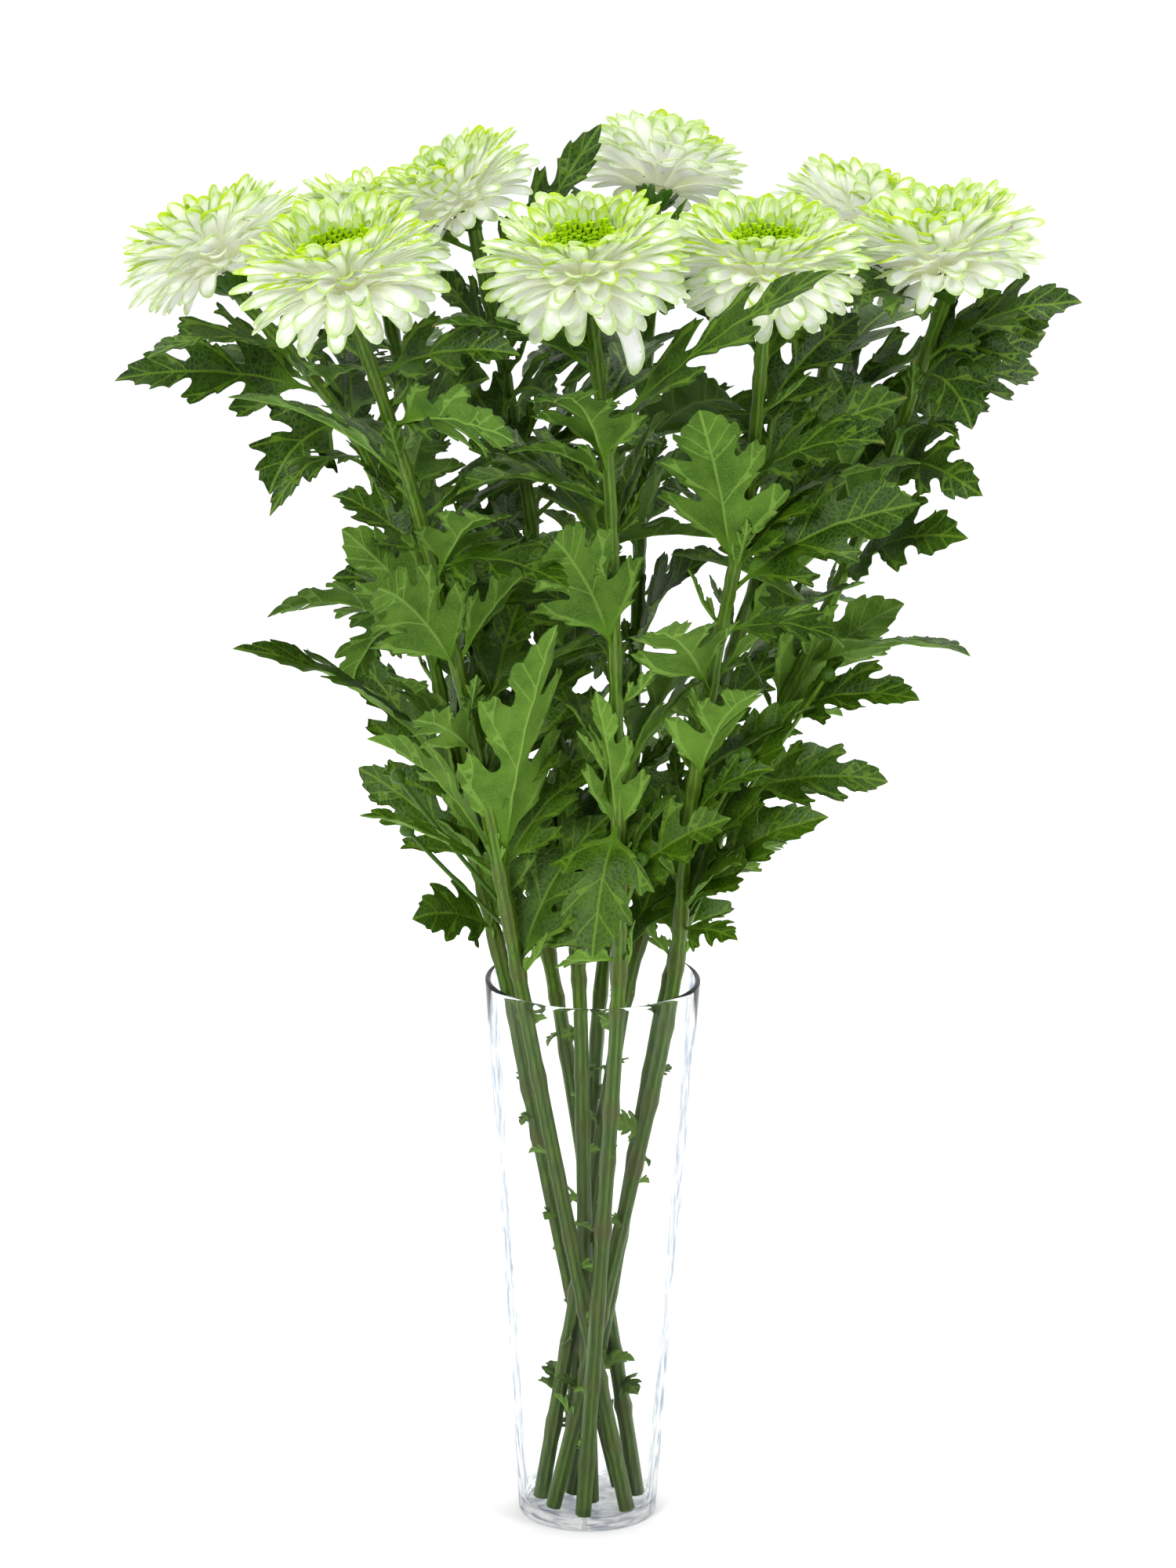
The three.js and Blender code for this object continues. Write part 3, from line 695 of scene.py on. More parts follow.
def refined(line, spacing):
    # A rounded line through the places, with a point at least every spacing.
    finer = [line[0]]
    for k in range(len(line) - 1):
        p1, p2 = line[k], line[k + 1]
        t1 = (p2 - line[max(k - 1, 0)]) * blade["rounding"]
        t2 = (line[min(k + 2, len(line) - 1)] - p1) * blade["rounding"]
        steps = max(2, math.ceil(np.linalg.norm(p2 - p1) / spacing))
        for step in range(1, steps + 1):
            finer.append(curveBetween(p1, p2, t1, t2, step / steps))
    return finer


def bladeSheet(shape, index, length, width):
    # The flat blade as triangles, with its rib and veins along edges of the net.
    size = (length, width / 2)
    leftSide = refined(edgeLine(shape, index, 1, size), blade["edgeSpacing"])
    rightSide = refined(edgeLine(shape, index, -1, size), blade["edgeSpacing"])
    outline = leftSide + rightSide[-2::-1]
    points = list(outline)
    edges = [(k, (k + 1) % len(outline)) for k in range(len(outline))]

    def addLine(line):
        start = len(points)
        points.extend(line)
        edges.extend((start + k, start + k + 1) for k in range(len(line) - 1))

    for offset in (-1, 0, 1):
        tail = lerp(0.985, 0.9, abs(offset))
        steps = max(7, round(length / blade["ribSpacing"]))
        shares = np.linspace(0.02 + blade["bareShare"] * abs(offset), tail, steps)
        addLine([np.array([s * length, offset * blade["ribHalf"] * (1.25 - s)]) for s in shares])
    for hand in (1, -1):
        for start, end in shape["veins"]:
            a = np.array([start[0] * length, hand * start[1] * size[1]])
            b = np.array([end[0] * length, hand * end[1] * size[1]])
            steps = max(2, round(np.linalg.norm(b - a) / blade["spacing"]))
            addLine([a + (b - a) * k / steps for k in range(steps + 1)])
    spacing = blade["spacing"]
    for row in range(1, int(width / spacing) + 1):
        for column in range(int(length * 0.13 / spacing), int(length / spacing) + 1):
            shift = spacing * (0.5 * (row % 2) + 0.2 * scatter(index, row, column))
            points.append(np.array([column * spacing + shift, row * spacing - width / 2 - spacing / 2]))
    flat, _, triangles, _, _, _ = delaunay_2d_cdt([Vector(point) for point in points], edges, [], 1, 1e-4)
    used = sorted({corner for triangle in triangles for corner in triangle})
    renumber = {old: new for new, old in enumerate(used)}
    sheet = np.array([flat[old] for old in used])
    return sheet, [[renumber[corner] for corner in triangle] for triangle in triangles]


def veinDistance(sheet, shape, length, width):
    best = np.full(len(sheet), 1e3)
    for start, end in shape["veins"]:
        a = np.array([start[0] * length, start[1] * width / 2])
        b = np.array([end[0] * length, end[1] * width / 2])
        place = np.stack([sheet[:, 0], np.abs(sheet[:, 1])], axis=1) - a
        share = np.clip(place @ (b - a) / ((b - a) @ (b - a)), 0, 1)
        best = np.minimum(best, np.linalg.norm(place - np.outer(share, b - a), axis=1))
    return best


def outwardLoop(triangles):
    # The directed edges that only one triangle uses.
    seen = {}
    for a, b, c in triangles:
        for pair in ((a, b), (b, c), (c, a)):
            seen[pair] = True
    return [pair for pair in seen if (pair[1], pair[0]) not in seen]


def waveAt(small, index, hand, share):
    places = waveShares[small]
    heights = [0, 0] + [scatter(index, round(place * blade["waves"]), hand) for place in places[2:]]
    return np.interp(share, places, heights)


def sheetNoise(sheet, index, scales):
    along, across, apart = scales
    return np.array([noise.noise(Vector((x * along, y * across, index * apart))) for x, y in sheet])


def leafSkin(leaf, index):
    # One closed leaf: points, faces, a material for each face and the values its finish reads.
    free = blade["heldCurl"] if index < len(shownLeaves) else 1
    frameOfLeaf = leafFrame(leaf, blade["twist"] * scatter(index, 4, 4))
    length, width = frameOfLeaf["length"], blade["narrow"] * leaf["width"]
    small = length < blade["smallArch"]
    shape = smallBlade if small else largeBlade
    sheet, triangles = bladeSheet(shape, index, length, width)
    share, across = sheet[:, 0] / length, sheet[:, 1]
    veins, ribs = veinDistance(sheet, shape, length, width), np.abs(across)
    part = ribs / (width / 2)
    near = sum(np.exp(-(gaps / blade["veinReach"]) ** 2) for gaps in (veins, ribs))
    wave = np.where(across > 0, waveAt(small, index, 1, share), waveAt(small, index, -1, share))
    crinkle = sheetNoise(sheet, index, blade["crinkleScale"])
    ripple = sheetNoise(sheet, index, blade["rippleScale"])
    unfolded = np.clip((share - blade["bareShare"]) * 8, 0, 1)
    size = min(1, width / blade["fullWidth"])
    beyond = np.maximum(share - blade["tipFrom"], 0) / (1 - blade["tipFrom"])
    bend = size * part ** 2 * (blade["curl"] * scatter(index, 3, 8) - 2 + 2 * blade["ripple"] * ripple)
    bend -= free * blade["tipCurl"] * chance(index, 9, 2) * length / blade["tipCurlAt"] * beyond ** 2
    relief = blade["crinkle"] * crinkle - blade["veinSink"] * np.minimum(near, 1) + blade["veinSink"]
    lift = ribs * blade["fold"] + blade["wave"] * wave * part * size + bend + unfolded * relief
    thin = np.clip(share / blade["stalkShare"], 0, 1)
    depth = lerp(blade["stalkDepth"], blade["depth"], thin)
    ridge = blade["ribDepth"] * (1 - blade["ribFade"] * share) * thin
    ridge *= np.exp(-(ribs / blade["ribReach"]) ** 2)
    top = bladePoints(frameOfLeaf, share, across, lift + depth / 2)
    under = bladePoints(frameOfLeaf, share, across, lift - depth / 2 - ridge)
    count = len(sheet)
    faces = [tuple(triangle) for triangle in triangles]
    faces += [(c + count, b + count, a + count) for a, b, c in triangles]
    paints = [0] * len(triangles) + [1] * len(triangles)
    for a, b in outwardLoop(triangles):
        faces.append((b, a, a + count, b + count))
        paints.append(0)
    # Lower leaves are paler and yellower: partly age, partly painted light, as if lit from behind. The same
    # value also sets which leaves have dried tips.
    height = (blade["ageAndLightHigh"] - frameOfLeaf["root"][2]) / (blade["ageAndLightHigh"] - blade["ageAndLightLow"])
    ageAndLight = 0.72 * min(max(height, 0), 1) + 0.28 * chance(index, 5, 1)
    store = {
        "bladeMap": np.tile(np.stack([sheet[:, 0], across, np.full(count, 17.0 * index)], axis=1), (2, 1)),
        "veinNear": np.tile(veins, 2), "ribNear": np.tile(ribs, 2), "bladeShare": np.tile(share, 2),
        "leafAgeAndLight": np.full(2 * count, ageAndLight),
    }
    return np.vstack([top, under]), faces, paints, store


def skinsMesh(name, skins, paints):
    points, faces, faceMaterials, stores = [], [], [], []
    start = 0
    for skin, skinFaces, skinPaints, store in skins:
        points.append(skin)
        faces.extend(tuple(corner + start for corner in face) for face in skinFaces)
        faceMaterials.extend(skinPaints)
        stores.append(store)
        start += len(skin)
    mesh = meshOf(name, np.vstack(points), faces, paints, faceMaterials)
    for key in stores[0]:
        storeValues(mesh, key, np.concatenate([store[key] for store in stores]))
    return mesh


leafLook = {
    "upper": {"dark": (0.003, 0.02, 0.001, 1), "light": (0.046, 0.115, 0.001, 1),
              "vein": (0.11, 0.21, 0.012, 1), "rough": 0.4, "net": 0.35,
              "shader": {"Specular IOR Level": 0.25}},
    "under": {"dark": (0.02, 0.07, 0.003, 1), "light": (0.115, 0.225, 0.022, 1),
              "vein": (0.16, 0.29, 0.045, 1), "rough": 0.6, "net": 0.6,
              "shader": {"Specular IOR Level": 0.12}},
    "stalk": (0.08, 0.18, 0.01, 1), "dry": (0.17, 0.1, 0.03, 1), "patchScale": 0.06, "fineScale": 1.6,
    "patchLevels": (0.35, 0.65), "veinLevels": (0.1, 0.7), "ribLevels": (0.3, 1.1),
    "dryLevels": (1.06, 1.12), "dryAges": (0.3, 0.1), "stalkLevels": (0.14, 0.3),
}


def leafMaterial(name, look):
    made, shader, wire = material(name, look["shader"])
    place = read(wire, "bladeMap", "Vector")
    ageAndLight = read(wire, "leafAgeAndLight")
    patches = noiseOn(place, leafLook["patchScale"], 3.0)
    net = wire.node("ShaderNodeTexVoronoi", {"Vector": place, "Scale": look["net"]}, "Distance",
                    feature="DISTANCE_TO_EDGE")
    fine = noiseOn(place, leafLook["fineScale"], 3.0)
    veins = 1 - read(wire, "veinNear").smooth(*leafLook["veinLevels"])
    along = read(wire, "bladeShare")
    ribs = 1 - read(wire, "ribNear").smooth(*leafLook["ribLevels"])
    mesh = 1 - net.smooth(0.0, 0.16)
    # The paler tone mixes random patches with the age value, in which lower leaves are painted paler as if
    # lit from behind.
    palerByToneAndLight = patches.smooth(*leafLook["patchLevels"]) * 0.4 + ageAndLight * 0.6
    base = palerByToneAndLight.blend(look["dark"], look["light"])
    netted = (mesh * 0.28).blend(base, look["vein"])
    veined = (veins * 0.75).blend(netted, look["vein"])
    ribbed = (ribs * 0.9).blend(veined, look["vein"])
    dried = (along + patches * 0.2).smooth(*leafLook["dryLevels"]) * ageAndLight.smooth(*leafLook["dryAges"])
    stalk = 1 - along.smooth(*leafLook["stalkLevels"])
    finish(shader, stalk.blend(dried.blend(ribbed, leafLook["dry"]), leafLook["stalk"]),
           fine * 0.2 + (look["rough"] - 0.1) + mesh * 0.08,
           net.smooth(0.0, 0.3) * 0.6 + fine * 0.4 - veins * 0.5, 0.55, 0.5)
    return made


upperLeaf = leafMaterial("upperLeafFace", leafLook["upper"])
underLeaf = leafMaterial("underLeafFace", leafLook["under"])


# Stems: ridged, a little thicker where leaves leave them, with scars and scraps of old stalks

stemLook = {
    "radius": 3.7, "footRadius": 4.1, "topRadius": 2.9, "places": 120, "sides": 20, "ridges": 7,
    "ridgeDepth": 0.07, "swell": 0.24, "swellReach": 3.2, "nodes": 17, "nodeScatter": 0.3,
    "taper": (0, 0.33, 0.9, 1), "neck": 1.25, "streakScale": 900, "patchScale": 28, "grainScale": 500,
    "shader": {"Specular IOR Level": 0.25}, "greenHeights": (0.19, 0.44),
    "olive": (0.018, 0.05, 0.002, 1), "paleOlive": (0.08, 0.145, 0.006, 1),
    "green": (0.035, 0.1, 0.004, 1), "pale": (0.12, 0.23, 0.014, 1), "brown": (0.075, 0.042, 0.012, 1),
}


def stemMaterial():
    made, shader, wire = material("stemGreen", stemLook["shader"])
    place = objectPlace(wire)
    streaks = noiseOn(stretched(place, 0.08), stemLook["streakScale"])
    patches = noiseOn(place, stemLook["patchScale"], 3.0)
    ribs = (streaks * 0.6 + read(wire, "ridge") * 0.4).smooth(0.3, 0.75)
    fresh = place.split()[2].smooth(*stemLook["greenHeights"])
    base = fresh.blend(ribs.blend(stemLook["olive"], stemLook["paleOlive"]),
                       ribs.blend(stemLook["green"], stemLook["pale"]))
    browned = (patches.smooth(0.5, 0.75) * 0.25 + read(wire, "nodeNear") * 0.45) * (1 - fresh * 0.6)
    finish(shader, browned.blend(base, stemLook["brown"]), streaks * 0.2 + 0.3,
           streaks + noiseOn(place, stemLook["grainScale"]) * 0.6, 0.35, 0.4)
    return made


stemGreen = stemMaterial()


def ridgedStemTree():
    tree, ports, wire = treeWith("ridgedStem", ("Radius", "Ridges", "Ridge depth"), ("Sides",))
    course = wire.node("GeometryNodeMeshToCurve", {"Mesh": ports["Geometry"]})
    circle = wire.node("GeometryNodeCurvePrimitiveCircle", {
        "Resolution": ports["Sides"], "Radius": ports["Radius"]})
    turn = wire.node("GeometryNodeSplineParameter", {}, "Factor")
    wave = (turn * ports["Ridges"] * (2 * math.pi)).maths("COSINE")
    sizing = {"Vector": wire.node("GeometryNodeInputPosition"), "Scale": 1 + wave * ports["Ridge depth"]}
    grownOut = wire.node("ShaderNodeVectorMath", sizing, operation="SCALE")
    profile = wire.node("GeometryNodeSetPosition", {
        "Geometry": stored(circle, "ridge", wave * 0.5 + 0.5, "POINT"), "Position": grownOut})
    tube = wire.node("GeometryNodeCurveToMesh", {
        "Curve": course, "Profile Curve": profile, "Scale": named(wire, "thickness"), "Fill Caps": True})
    endTree(tube, ports["Material"])
    return tree


ridgedStem = ridgedStemTree()


def ridgedTube(line, thickness, near, sides, ridges, ridgeDepth):
    # A line of places with a thickness at each, for the tree to follow.
    mesh = bpy.data.meshes.new("tubeLine")
    mesh.from_pydata([tuple(point) for point in line], [(k, k + 1) for k in range(len(line) - 1)], [])
    storeValues(mesh, "thickness", thickness)
    storeValues(mesh, "nodeNear", near)
    return grown(mesh, ridgedStem, {
        "Radius": stemLook["radius"], "Sides": sides, "Ridges": float(ridges),
        "Ridge depth": float(ridgeDepth), "Material": stemGreen})


def stemMesh(s, leafShares):
    count, radius, top, nodes = (stemLook[key] for key in ("places", "radius", "topRadius", "nodes"))
    shares = np.linspace(0, 1, count)
    line = np.array([coursePoint(stems[s]["course"], share) for share in shares])
    steps = np.concatenate([[0], np.cumsum(np.linalg.norm(np.diff(line, axis=0), axis=1))])
    scars = [steps[-1] * (k + stemLook["nodeScatter"] * scatter(s, k, 2)) / nodes for k in range(1, nodes)]
    scars += [np.interp(share, shares, steps) for share in leafShares]
    near = np.zeros(count)
    for scar in scars:
        near = np.maximum(near, np.exp(-((steps - scar) / stemLook["swellReach"]) ** 2))
    radii = (stemLook["footRadius"], radius, top, top * stemLook["neck"])
    taper = np.interp(shares, stemLook["taper"], radii)
    return ridgedTube(line, taper / radius * (1 + stemLook["swell"] * near), near,
                      stemLook["sides"], stemLook["ridges"], stemLook["ridgeDepth"])


# Heads: rings of channelled petals that bend along their length, whiter outside, greener inside

petalLook = {
    "fine": ((0, 0.2, 0.4, 0.58, 0.74, 0.86, 0.95, 1), 5), "coarse": ((0, 0.35, 0.65, 0.88, 1), 3),
    "coarseBelow": 28, "claw": 0.42, "bellyAt": 0.62, "tipFrom": 0.74, "tipLength": 0.265,
    "tipPower": 2.3, "hoodFrom": 0.75, "hood": 2.4, "sway": 0.3, "freshSpread": 0.08,
    "each": {"Depth": 0.45, "Cup": 0.2, "Spread": 9, "Length spread": 0.12, "Turn spread": 7,
             "Roll spread": 22},
    # The faint emission makes the petals glow in their own colour: painted light for the light that passes
    # through them.
    "shader": {"Specular IOR Level": 0.25, "Emission Strength": 0.09, "Subsurface Weight": 0.4,
               "Subsurface Radius": (0.01, 0.01, 0.006), "Subsurface Scale": 1.0},
    "white": (0.97, 0.97, 0.95, 1), "milk": (0.84, 0.92, 0.42, 1), "lime": (0.26, 0.46, 0.001, 1),
    "speck": (0.3, 0.12, 0.07, 1), "mottleScale": 130, "speckScale": 170, "speckLevels": (0.74, 0.78),
    "marginLevels": (0.6, 0.92), "tipLevels": (0.78, 1.03), "veinTurns": 26,
}

# Radius and Height are those of the roots, Rise and End the slopes at root and tip.
ringFields = ("Count", "Radius", "Height", "Rise", "End", "Length", "Width", "Freshness")
inDegrees = ("Turn", "Rise", "End", "Spread", "Turn spread", "Roll spread")
petalRings = [
    (14, 11, 9.5, 8, -50, 35, 11, 0.0),
    (19, 11.5, 11, 18, -38, 39, 11, 0.04),
    (23, 12, 12.5, 27, -26, 42, 11, 0.1),
    (25, 12, 14.5, 35, -13, 43, 11, 0.16),
    (26, 12.5, 16.5, 43, 1, 42, 10.5, 0.24),
    (27, 13, 18.5, 51, 15, 40, 10, 0.33),
    (27, 13.5, 20.5, 58, 30, 37, 9.5, 0.43),
    (27, 14, 22, 64, 45, 33, 8.5, 0.55),
    (26, 15.5, 23.5, 63, 52, 27, 7.5, 0.68),
    (26, 16.5, 24.5, 70, 68, 20, 6.3, 0.84),
    (25, 17, 25.5, 79, 88, 13, 4.8, 1.0),
]

# One petal more on the fifth head, which hangs down. Heads count from 0 here.
strays = {4: {"ring": (1, 12, 7, -10, -96, 50, 13, 0.0), "turn": -62}}

# How far each head has opened: its outer petals hang where it is 1 and rise in a bowl where less.
openness = (1, 1, 0.95, 0.7, 1, 0.4, 1, 0.8, 0.75)
closing = {"rise": 20, "end": 55, "crown": 0.4}


def petalHalfWidth(u):
    # From a narrow claw to a broad strap with a round tip.
    belly = lerp(petalLook["claw"], 1, math.sin(min(u / petalLook["bellyAt"], 1) * math.pi / 2))
    beyond = max(u - petalLook["tipFrom"], 0) / petalLook["tipLength"]
    return belly * math.sqrt(1 - beyond ** petalLook["tipPower"])


def petalTemplate(shares, across):
    # A closed strap of unit length: x along, y across, z under or over.
    along = len(shares)
    layer, last = along * across, (along - 1) * across
    points, marks = [], []
    for side in (0.5, -0.5):
        for u in shares:
            for v in np.linspace(-1, 1, across):
                points.append((u, v * petalHalfWidth(u), side))
                marks.append((u, v, side))
    faces = []
    for i in range(along - 1):
        for j in range(across - 1):
            a = i * across + j
            faces.append((a, a + across, a + across + 1, a + 1))
            faces.append((a + layer, a + 1 + layer, a + across + 1 + layer, a + across + layer))
    loop = [pair for j in range(across - 1) for pair in ((j + 1, j), (last + j, last + j + 1))]
    for a in range(0, last, across):
        loop += [(a, a + across), (a + 2 * across - 1, a + across - 1)]
    faces += [(b, a, a + layer, b + layer) for a, b in loop]
    mesh = meshOf("petal", points, faces)
    storeValues(mesh, "petalMap", marks)
    return mesh


def petalRingTree():
    tree, ports, wire = treeWith("petalRing", ("Turn", *ringFields[1:], *petalLook["each"]))
    dots = wire.node("GeometryNodePoints", {"Count": ports["Count"]})
    index = wire.node("GeometryNodeInputIndex")
    evenly = index / ports["Count"] * (2 * math.pi) + ports["Turn"]
    kept = {
        "turn": evenly + draw(ports, index, 1) * ports["Turn spread"],
        "rise": ports["Rise"] + draw(ports, index, 2) * ports["Spread"],
        "end": ports["End"] + draw(ports, index, 3) * ports["Spread"],
        "long": ports["Length"] * (1 + draw(ports, index, 4) * ports["Length spread"]),
        "sway": draw(ports, index, 5), "tint": draw(ports, index, 6),
        "roll": draw(ports, index, 7) * ports["Roll spread"],
        "fresh": ports["Freshness"] + draw(ports, index, 8) * petalLook["freshSpread"],
    }
    petals = wire.node("GeometryNodeInstanceOnPoints", {"Points": dots, "Instance": ports["Geometry"]})
    for name, value in kept.items():
        petals = stored(petals, name, value, "INSTANCE")
    real = wire.node("GeometryNodeRealizeInstances", {0: petals})
    # Each petal is an arc of its own length and slopes, then folded, hooded and rolled.
    u, y, z = wire.node("GeometryNodeInputPosition").split()
    start, bendBy = named(wire, "rise"), named(wire, "end") - named(wire, "rise")
    half = bendBy * u / 2
    safe = half.maths("ABSOLUTE").maths("MAXIMUM", 1e-4)
    chord = named(wire, "long") * u * safe.maths("SINE") / safe
    middle, slope = start + half, start + bendBy * u
    beyond = (u - petalLook["hoodFrom"]).maths("MAXIMUM", 0.0)
    hood = beyond * beyond * ports["Width"] * petalLook["hood"]
    flatAcross = y * ports["Width"] / 2
    flatLift = z * ports["Depth"] + y * y * ports["Cup"] * ports["Width"] + hood
    roll = named(wire, "roll") * u
    cosRoll, sinRoll = roll.maths("COSINE"), roll.maths("SINE")
    sway = named(wire, "sway") * u * u * ports["Width"] * petalLook["sway"]
    across = flatAcross * cosRoll - flatLift * sinRoll + sway
    lift = flatAcross * sinRoll + flatLift * cosRoll
    reach = ports["Radius"] + chord * middle.maths("COSINE") - lift * slope.maths("SINE")
    level = ports["Height"] + chord * middle.maths("SINE") + lift * slope.maths("COSINE")
    angle = named(wire, "turn")
    cosine, sine = angle.maths("COSINE"), angle.maths("SINE")
    place = wire.node("ShaderNodeCombineXYZ", {
        "X": reach * cosine - across * sine, "Y": reach * sine + across * cosine, "Z": level})
    endTree(wire.node("GeometryNodeSetPosition", {"Geometry": real, "Position": place}), ports["Material"])
    return tree


petalRing = petalRingTree()


def petalMaterial():
    made, shader, wire = material("whiteLimePetal", petalLook["shader"])
    u, v, _ = read(wire, "petalMap", "Vector").split()
    fresh = read(wire, "fresh")
    tint = read(wire, "tint")
    place = objectPlace(wire)
    side = v.maths("ABSOLUTE")
    mottle = noiseOn(place, petalLook["mottleScale"])
    margin = (side + (mottle - 0.5) * 0.2).smooth(*petalLook["marginLevels"]) * u.smooth(0.25, 0.75)
    tip = (u + (mottle - 0.5) * 0.3 + side * 0.06).smooth(*petalLook["tipLevels"])
    edge = (margin * 0.85 + tip).maths("MINIMUM", 1.0)
    body = fresh.smooth(0.4, 1.0) * (u.smooth(0.0, 0.9) * 0.4 + 0.45)
    veins = (v * petalLook["veinTurns"]).maths("SINE") * 0.5 + 0.5
    milky = veins * 0.1 + fresh.smooth(0.1, 1.0) * 0.5 + (1 - u.smooth(0.15, 0.6)) * 0.45
    white = milky.blend(petalLook["white"], petalLook["milk"])
    young = body.blend(white, petalLook["lime"])
    greened = (edge * (0.7 + tint * 0.15 + fresh.smooth(0, 0.3) * 0.25)).blend(young, petalLook["lime"])
    specks = noiseOn(place, petalLook["speckScale"], 1.0).smooth(*petalLook["speckLevels"]) * 0.6
    colour = specks.blend(greened, petalLook["speck"])
    # The petals glow faintly in their own colour: painted light for the light that passes through them.
    feed(shader, "Emission Color", colour)
    finish(shader, colour, mottle * 0.2 + 0.42, veins * 0.7 + mottle * 0.3, 0.35, 0.3)
    return made


whitePetal = petalMaterial()


def ringMesh(template, ring, seed, turn, paint):
    values = {**petalLook["each"], **dict(zip(ringFields, ring)), "Turn": turn}
    values = {name: math.radians(value) if name in inDegrees else float(value)
              for name, value in values.items()}
    return grown(template, petalRing, {**values, "Count": ring[0], "Seed": seed, "Material": paint})


# Under each head a green cup with two rows of small bracts

cupLook = {
    "profile": [(0, -6), (3.4, -6), (4.2, -3.5), (7, -1), (8.8, 1.6), (9.2, 4.5), (0, 4.5)], "sides": 28,
    "bracts": [(13, 7.2, 0.2, 40, 70, 10, 4.6, 0), (11, 5.2, -2.5, 30, 62, 9, 4.2, 0)],
}


def headMeshes(s):
    fine, coarse = petalTemplate(*petalLook["fine"]), petalTemplate(*petalLook["coarse"])
    seed = 100 * (s + 1)
    meshes = []
    shut = 1 - openness[s]
    for r, (count, radius, height, rise, end, length, width, fresh) in enumerate(petalRings):
        closed = shut * (1 - fresh)
        shorter = 1 - closing["crown"] * shut * fresh ** 0.5
        ring = (count, radius, height, rise + closing["rise"] * closed, end + closing["end"] * closed,
                length * shorter, width, fresh)
        template = coarse if length < petalLook["coarseBelow"] else fine
        meshes.append(ringMesh(template, ring, seed + 7 * r, 360 * chance(s, r, 9), whitePetal))
    if s in strays:
        stray = strays[s]
        meshes.append(ringMesh(fine, stray["ring"], seed + 91, stray["turn"], whitePetal))
    return meshes


# Hearts: a dish of tube florets set by the golden angle, tallest at its rim

# The darkest green is painted shade, at the florets' feet down among the others.
heartLook = {
    "florets": 130, "spread": 16.5, "length": 8.5, "width": 1.0, "level": 28, "dish": 4, "splay": 24,
    "tube": [(0.8, 0), (1.0, 0.55), (1.35, 0.86), (1.9, 1.0), (0.7, 0.9), (0.4, 0.75)],
    "shader": {"Specular IOR Level": 0.12, "Subsurface Weight": 0.15,
               "Subsurface Radius": (0.002, 0.003, 0.001), "Subsurface Scale": 1.0},
    "button": [(0, 26), (16.5, 26), (16.5, 29.5), (8, 29), (0, 28.5)], "sides": 28,
    "lime": (0.24, 0.46, 0.001, 1), "bright": (0.4, 0.62, 0.004, 1), "deepShade": (0.08, 0.2, 0.001, 1),
    "splayRange": (0.4, 1.2), "lengthRange": (0.85, 1.15), "grainScale": 400,
}


def floretTemplate():
    # A slim tube with a flared, five-cornered mouth, closed inside.
    rings, sides = heartLook["tube"], 5
    top = (len(rings) - 1) * sides
    faces = [*ringFaces(len(rings), sides), tuple(reversed(range(sides))), tuple(range(top, top + sides))]
    mesh = meshOf("floret", ringPoints(rings, sides), faces)
    storeValues(mesh, "floretShare", [level for _, level in rings for _ in range(sides)])
    return mesh


def floretDiscTree():
    tree, ports, wire = treeWith("floretDisc", ("Spread", "Length", "Width", "Level", "Dish", "Splay"))
    dots = wire.node("GeometryNodePoints", {"Count": ports["Count"]})
    index = wire.node("GeometryNodeInputIndex")
    share = (index + 0.5) / ports["Count"]
    outness = share.maths("SQRT")
    angle = index * math.radians(goldenAngle)
    distance = outness * ports["Spread"]
    place = wire.node("ShaderNodeCombineXYZ", {
        "X": distance * angle.maths("COSINE"), "Y": distance * angle.maths("SINE"),
        "Z": ports["Level"] + ports["Dish"] * share})
    turn = wire.node("ShaderNodeCombineXYZ", {
        "Y": ports["Splay"] * outness * draw(ports, index, 1, *heartLook["splayRange"]), "Z": angle})
    size = wire.node("ShaderNodeCombineXYZ", {
        "X": ports["Width"], "Y": ports["Width"],
        "Z": ports["Length"] * draw(ports, index, 2, *heartLook["lengthRange"]) * (0.5 + 0.5 * share)})
    spots = wire.node("GeometryNodeSetPosition", {"Geometry": dots, "Position": place})
    florets = wire.node("GeometryNodeInstanceOnPoints", {
        "Points": spots, "Instance": ports["Geometry"], "Rotation": turn, "Scale": size})
    endTree(stored(florets, "outness", outness, "INSTANCE"), ports["Material"])
    return tree


def heartMaterial():
    made, shader, wire = material("limeFlorets", heartLook["shader"])
    share = read(wire, "floretShare")
    grain = noiseOn(objectPlace(wire), heartLook["grainScale"])
    # Each floret is painted darker towards its foot, down among the others, and the button under them,
    # which has no share, wholly so: painted shade.
    base = share.smooth(0.35, 1.0).blend(heartLook["deepShade"], heartLook["lime"])
    outer = read(wire, "outness").smooth(0.3, 1.0) * share
    finish(shader, outer.blend(base, heartLook["bright"]), grain * 0.2 + 0.4, grain, 0.3, 0.2)
    return made


floretDisc = floretDiscTree()
heartLime = heartMaterial()


def heartMeshes(s):
    values = {name: heartLook[name.lower()] for name in ("Spread", "Length", "Width", "Level", "Dish")}
    florets = grown(floretTemplate(), floretDisc, {
        **{name: float(value) for name, value in values.items()}, "Count": heartLook["florets"],
        "Splay": math.radians(heartLook["splay"]), "Seed": 11 * s, "Material": heartLime})
    return [turnedMesh("button", heartLook["button"], heartLook["sides"], heartLime), florets]


def makeHead(s):
    matrix = Matrix(headMatrix(stems[s]).tolist())
    for name, meshes, node, slot in (
            ("flowerHead", headMeshes(s), "bloom", "petal_white"),
            ("floretHeart", heartMeshes(s), "heart", "heart_green")):
        for mesh in meshes:
            mesh.transform(matrix)
        piece = joinedPiece(f"{name}_{s + 1}", meshes)
        dress(piece, f"{node}_{s + 1}")


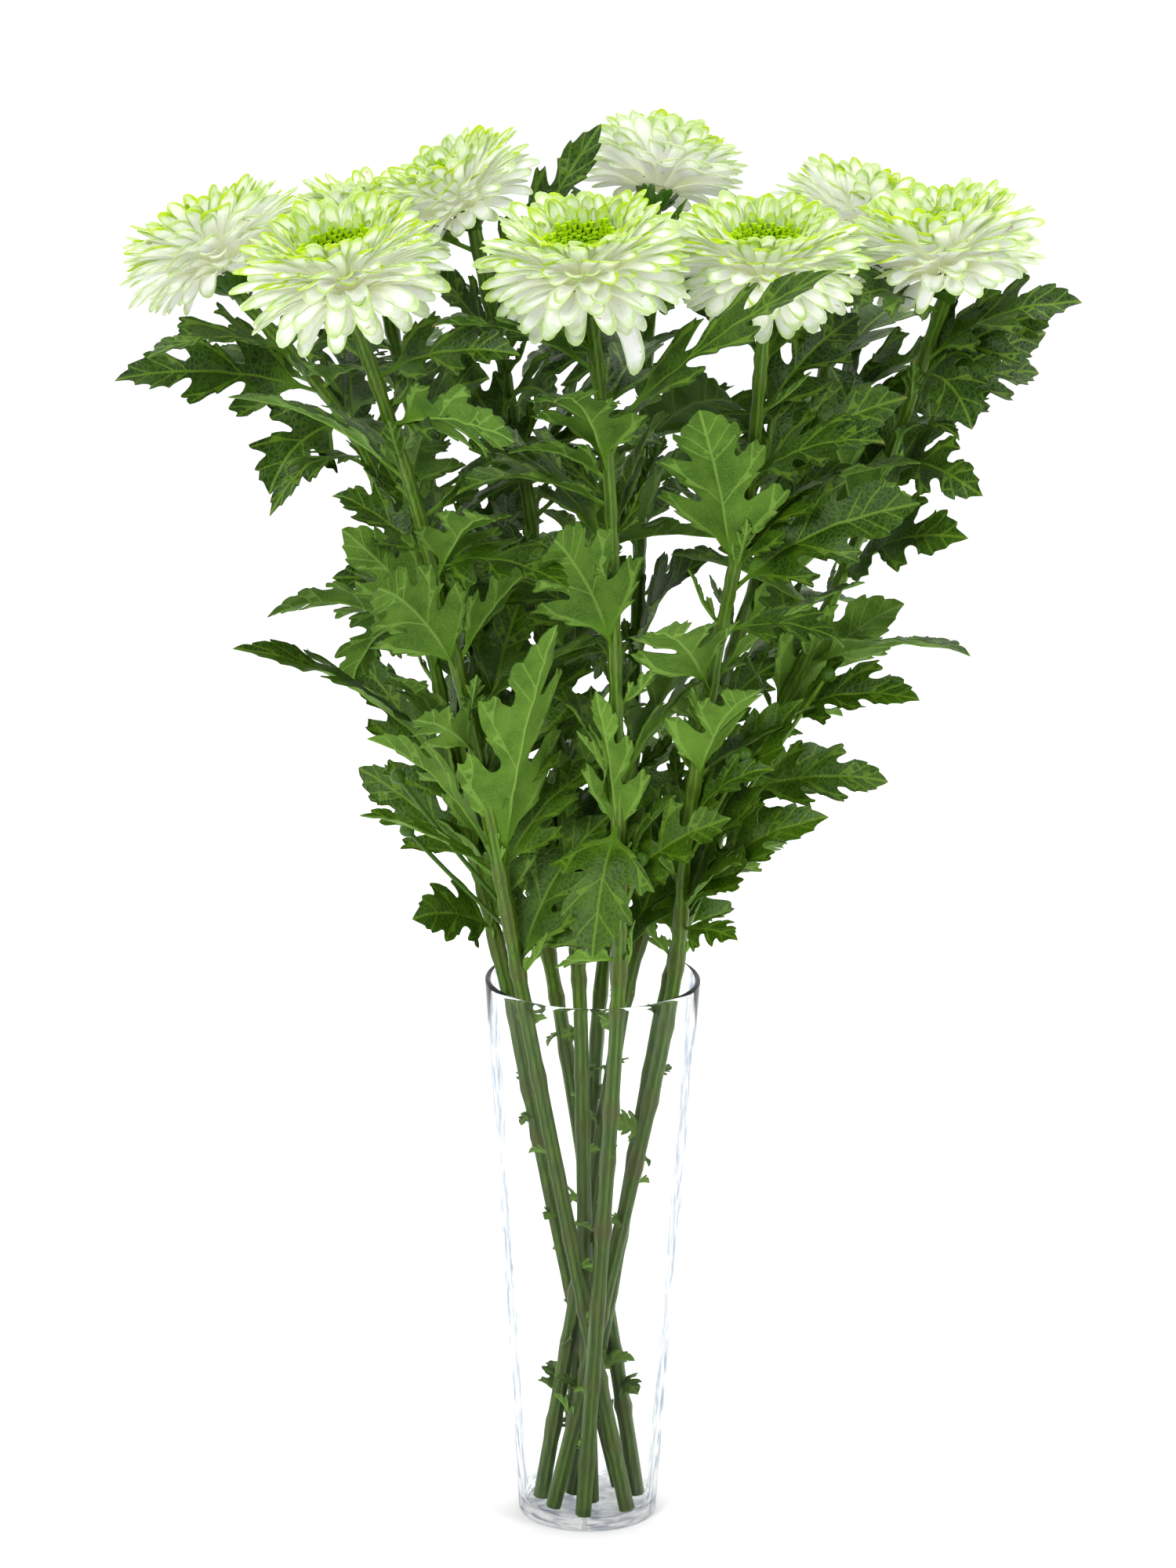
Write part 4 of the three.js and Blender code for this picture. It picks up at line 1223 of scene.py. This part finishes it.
def makeLeafyStem(s):
    own = [(index, leaf) for index, leaf in enumerate(leaves) if leaf["stem"] == s]
    stalk = stemMesh(s, [leaf["at"] for _, leaf in own])
    skins = [leafSkin(leaf, index) for index, leaf in own]
    skins += [leafSkin(leaf, scraps["seed"] + 20 * s + k) for k, leaf in enumerate(scrapLeaves(s))]
    foliage = skinsMesh("foliage", skins, [upperLeaf, underLeaf])
    matrix = Matrix(headMatrix(stems[s]).tolist())
    cup = turnedMesh("cup", cupLook["profile"], cupLook["sides"], stemGreen)
    bracts = [ringMesh(petalTemplate(*petalLook["coarse"]), ring, 31 * s + r, 20 * r, stemGreen)
              for r, ring in enumerate(cupLook["bracts"])]
    for mesh in (cup, *bracts):
        mesh.transform(matrix)
    piece = joinedPiece(f"leafyStem_{s + 1}", [stalk, foliage, cup, *bracts, *budMeshes(s)])
    dress(piece, f"leafy_stem_{s + 1}")


# Old stalks and torn scraps of leaf at the nodes in the vase, and a few buds on thin stalks

scraps = {
    "perStem": 9, "first": 0.05, "last": 0.33, "length": (9, 24), "width": 0.95, "rise": (-35, 65),
    "tries": 12, "wallRoom": 6, "seed": 400,
}
buds = {
    "profile": [(0, -3.5), (1.4, -3.2), (3.4, -1.2), (4.1, 1), (3.6, 3), (1.8, 4.4), (0, 4.8)], "sides": 16,
    "stalk": 0.32, "stalkSides": 10, "steps": 9, "sag": 6,
    "places": [  # stem, share of its course, tip
        (2, 0.42, (-102, -30, 417)), (2, 0.4, (-97, -26, 387)), (7, 0.47, (77, -42, 434)),
        (5, 0.42, (24, -66, 384)), (9, 0.5, (120, -14, 470)),
    ],
}


def scrapLeaves(s):
    made = []
    seed = scraps["seed"] + s
    for k in range(scraps["perStem"]):
        height = (k + 0.5 + 0.4 * scatter(seed, k, 1)) / scraps["perStem"]
        at = lerp(scraps["first"], scraps["last"], height)
        root = coursePoint(stems[s]["course"], at)
        rise = math.radians(lerp(*scraps["rise"], chance(seed, k, 30)))
        length = lerp(*scraps["length"], chance(seed, k, 31) ** 2)
        for attempt in range(scraps["tries"]):
            tip = root + length * pointing(2 * math.pi * chance(seed, k, 2 + attempt), rise)
            inner = lerp(vase["baseRadius"], vase["rimRadius"], tip[2] / vase["height"])
            if math.hypot(tip[0], tip[1]) < inner - scraps["wallRoom"]:
                made.append({"stem": s, "at": at, "tip": tip, "arch": 100 * chance(seed, k, 32) + 10,
                             "width": length * scraps["width"], "turn": 70 * scatter(seed, k, 33)})
                break
    return made


def budMeshes(s):
    made = []
    for stem, at, tip in buds["places"]:
        if stem == s + 1:
            root = coursePoint(stems[s]["course"], at)
            away, sag = np.array(tip) - root, np.array([0, 0, buds["sag"]])
            line = [root + away * share + sag * share * (share - 1)
                    for share in np.linspace(0, 1, buds["steps"])]
            bud = turnedMesh("bud", buds["profile"], buds["sides"], stemGreen)
            aim = Vector(line[-1] - line[-3]).to_track_quat("Z", "Y").to_matrix().to_4x4()
            bud.transform(Matrix.Translation(line[-1]) @ aim)
            made += [ridgedTube(line, np.full(len(line), buds["stalk"]), np.zeros(len(line)),
                                buds["stalkSides"], 1, 0), bud]
    return made


for s in range(len(stems)):
    makeLeafyStem(s)
    makeHead(s)
print("stems, leaves and heads made")
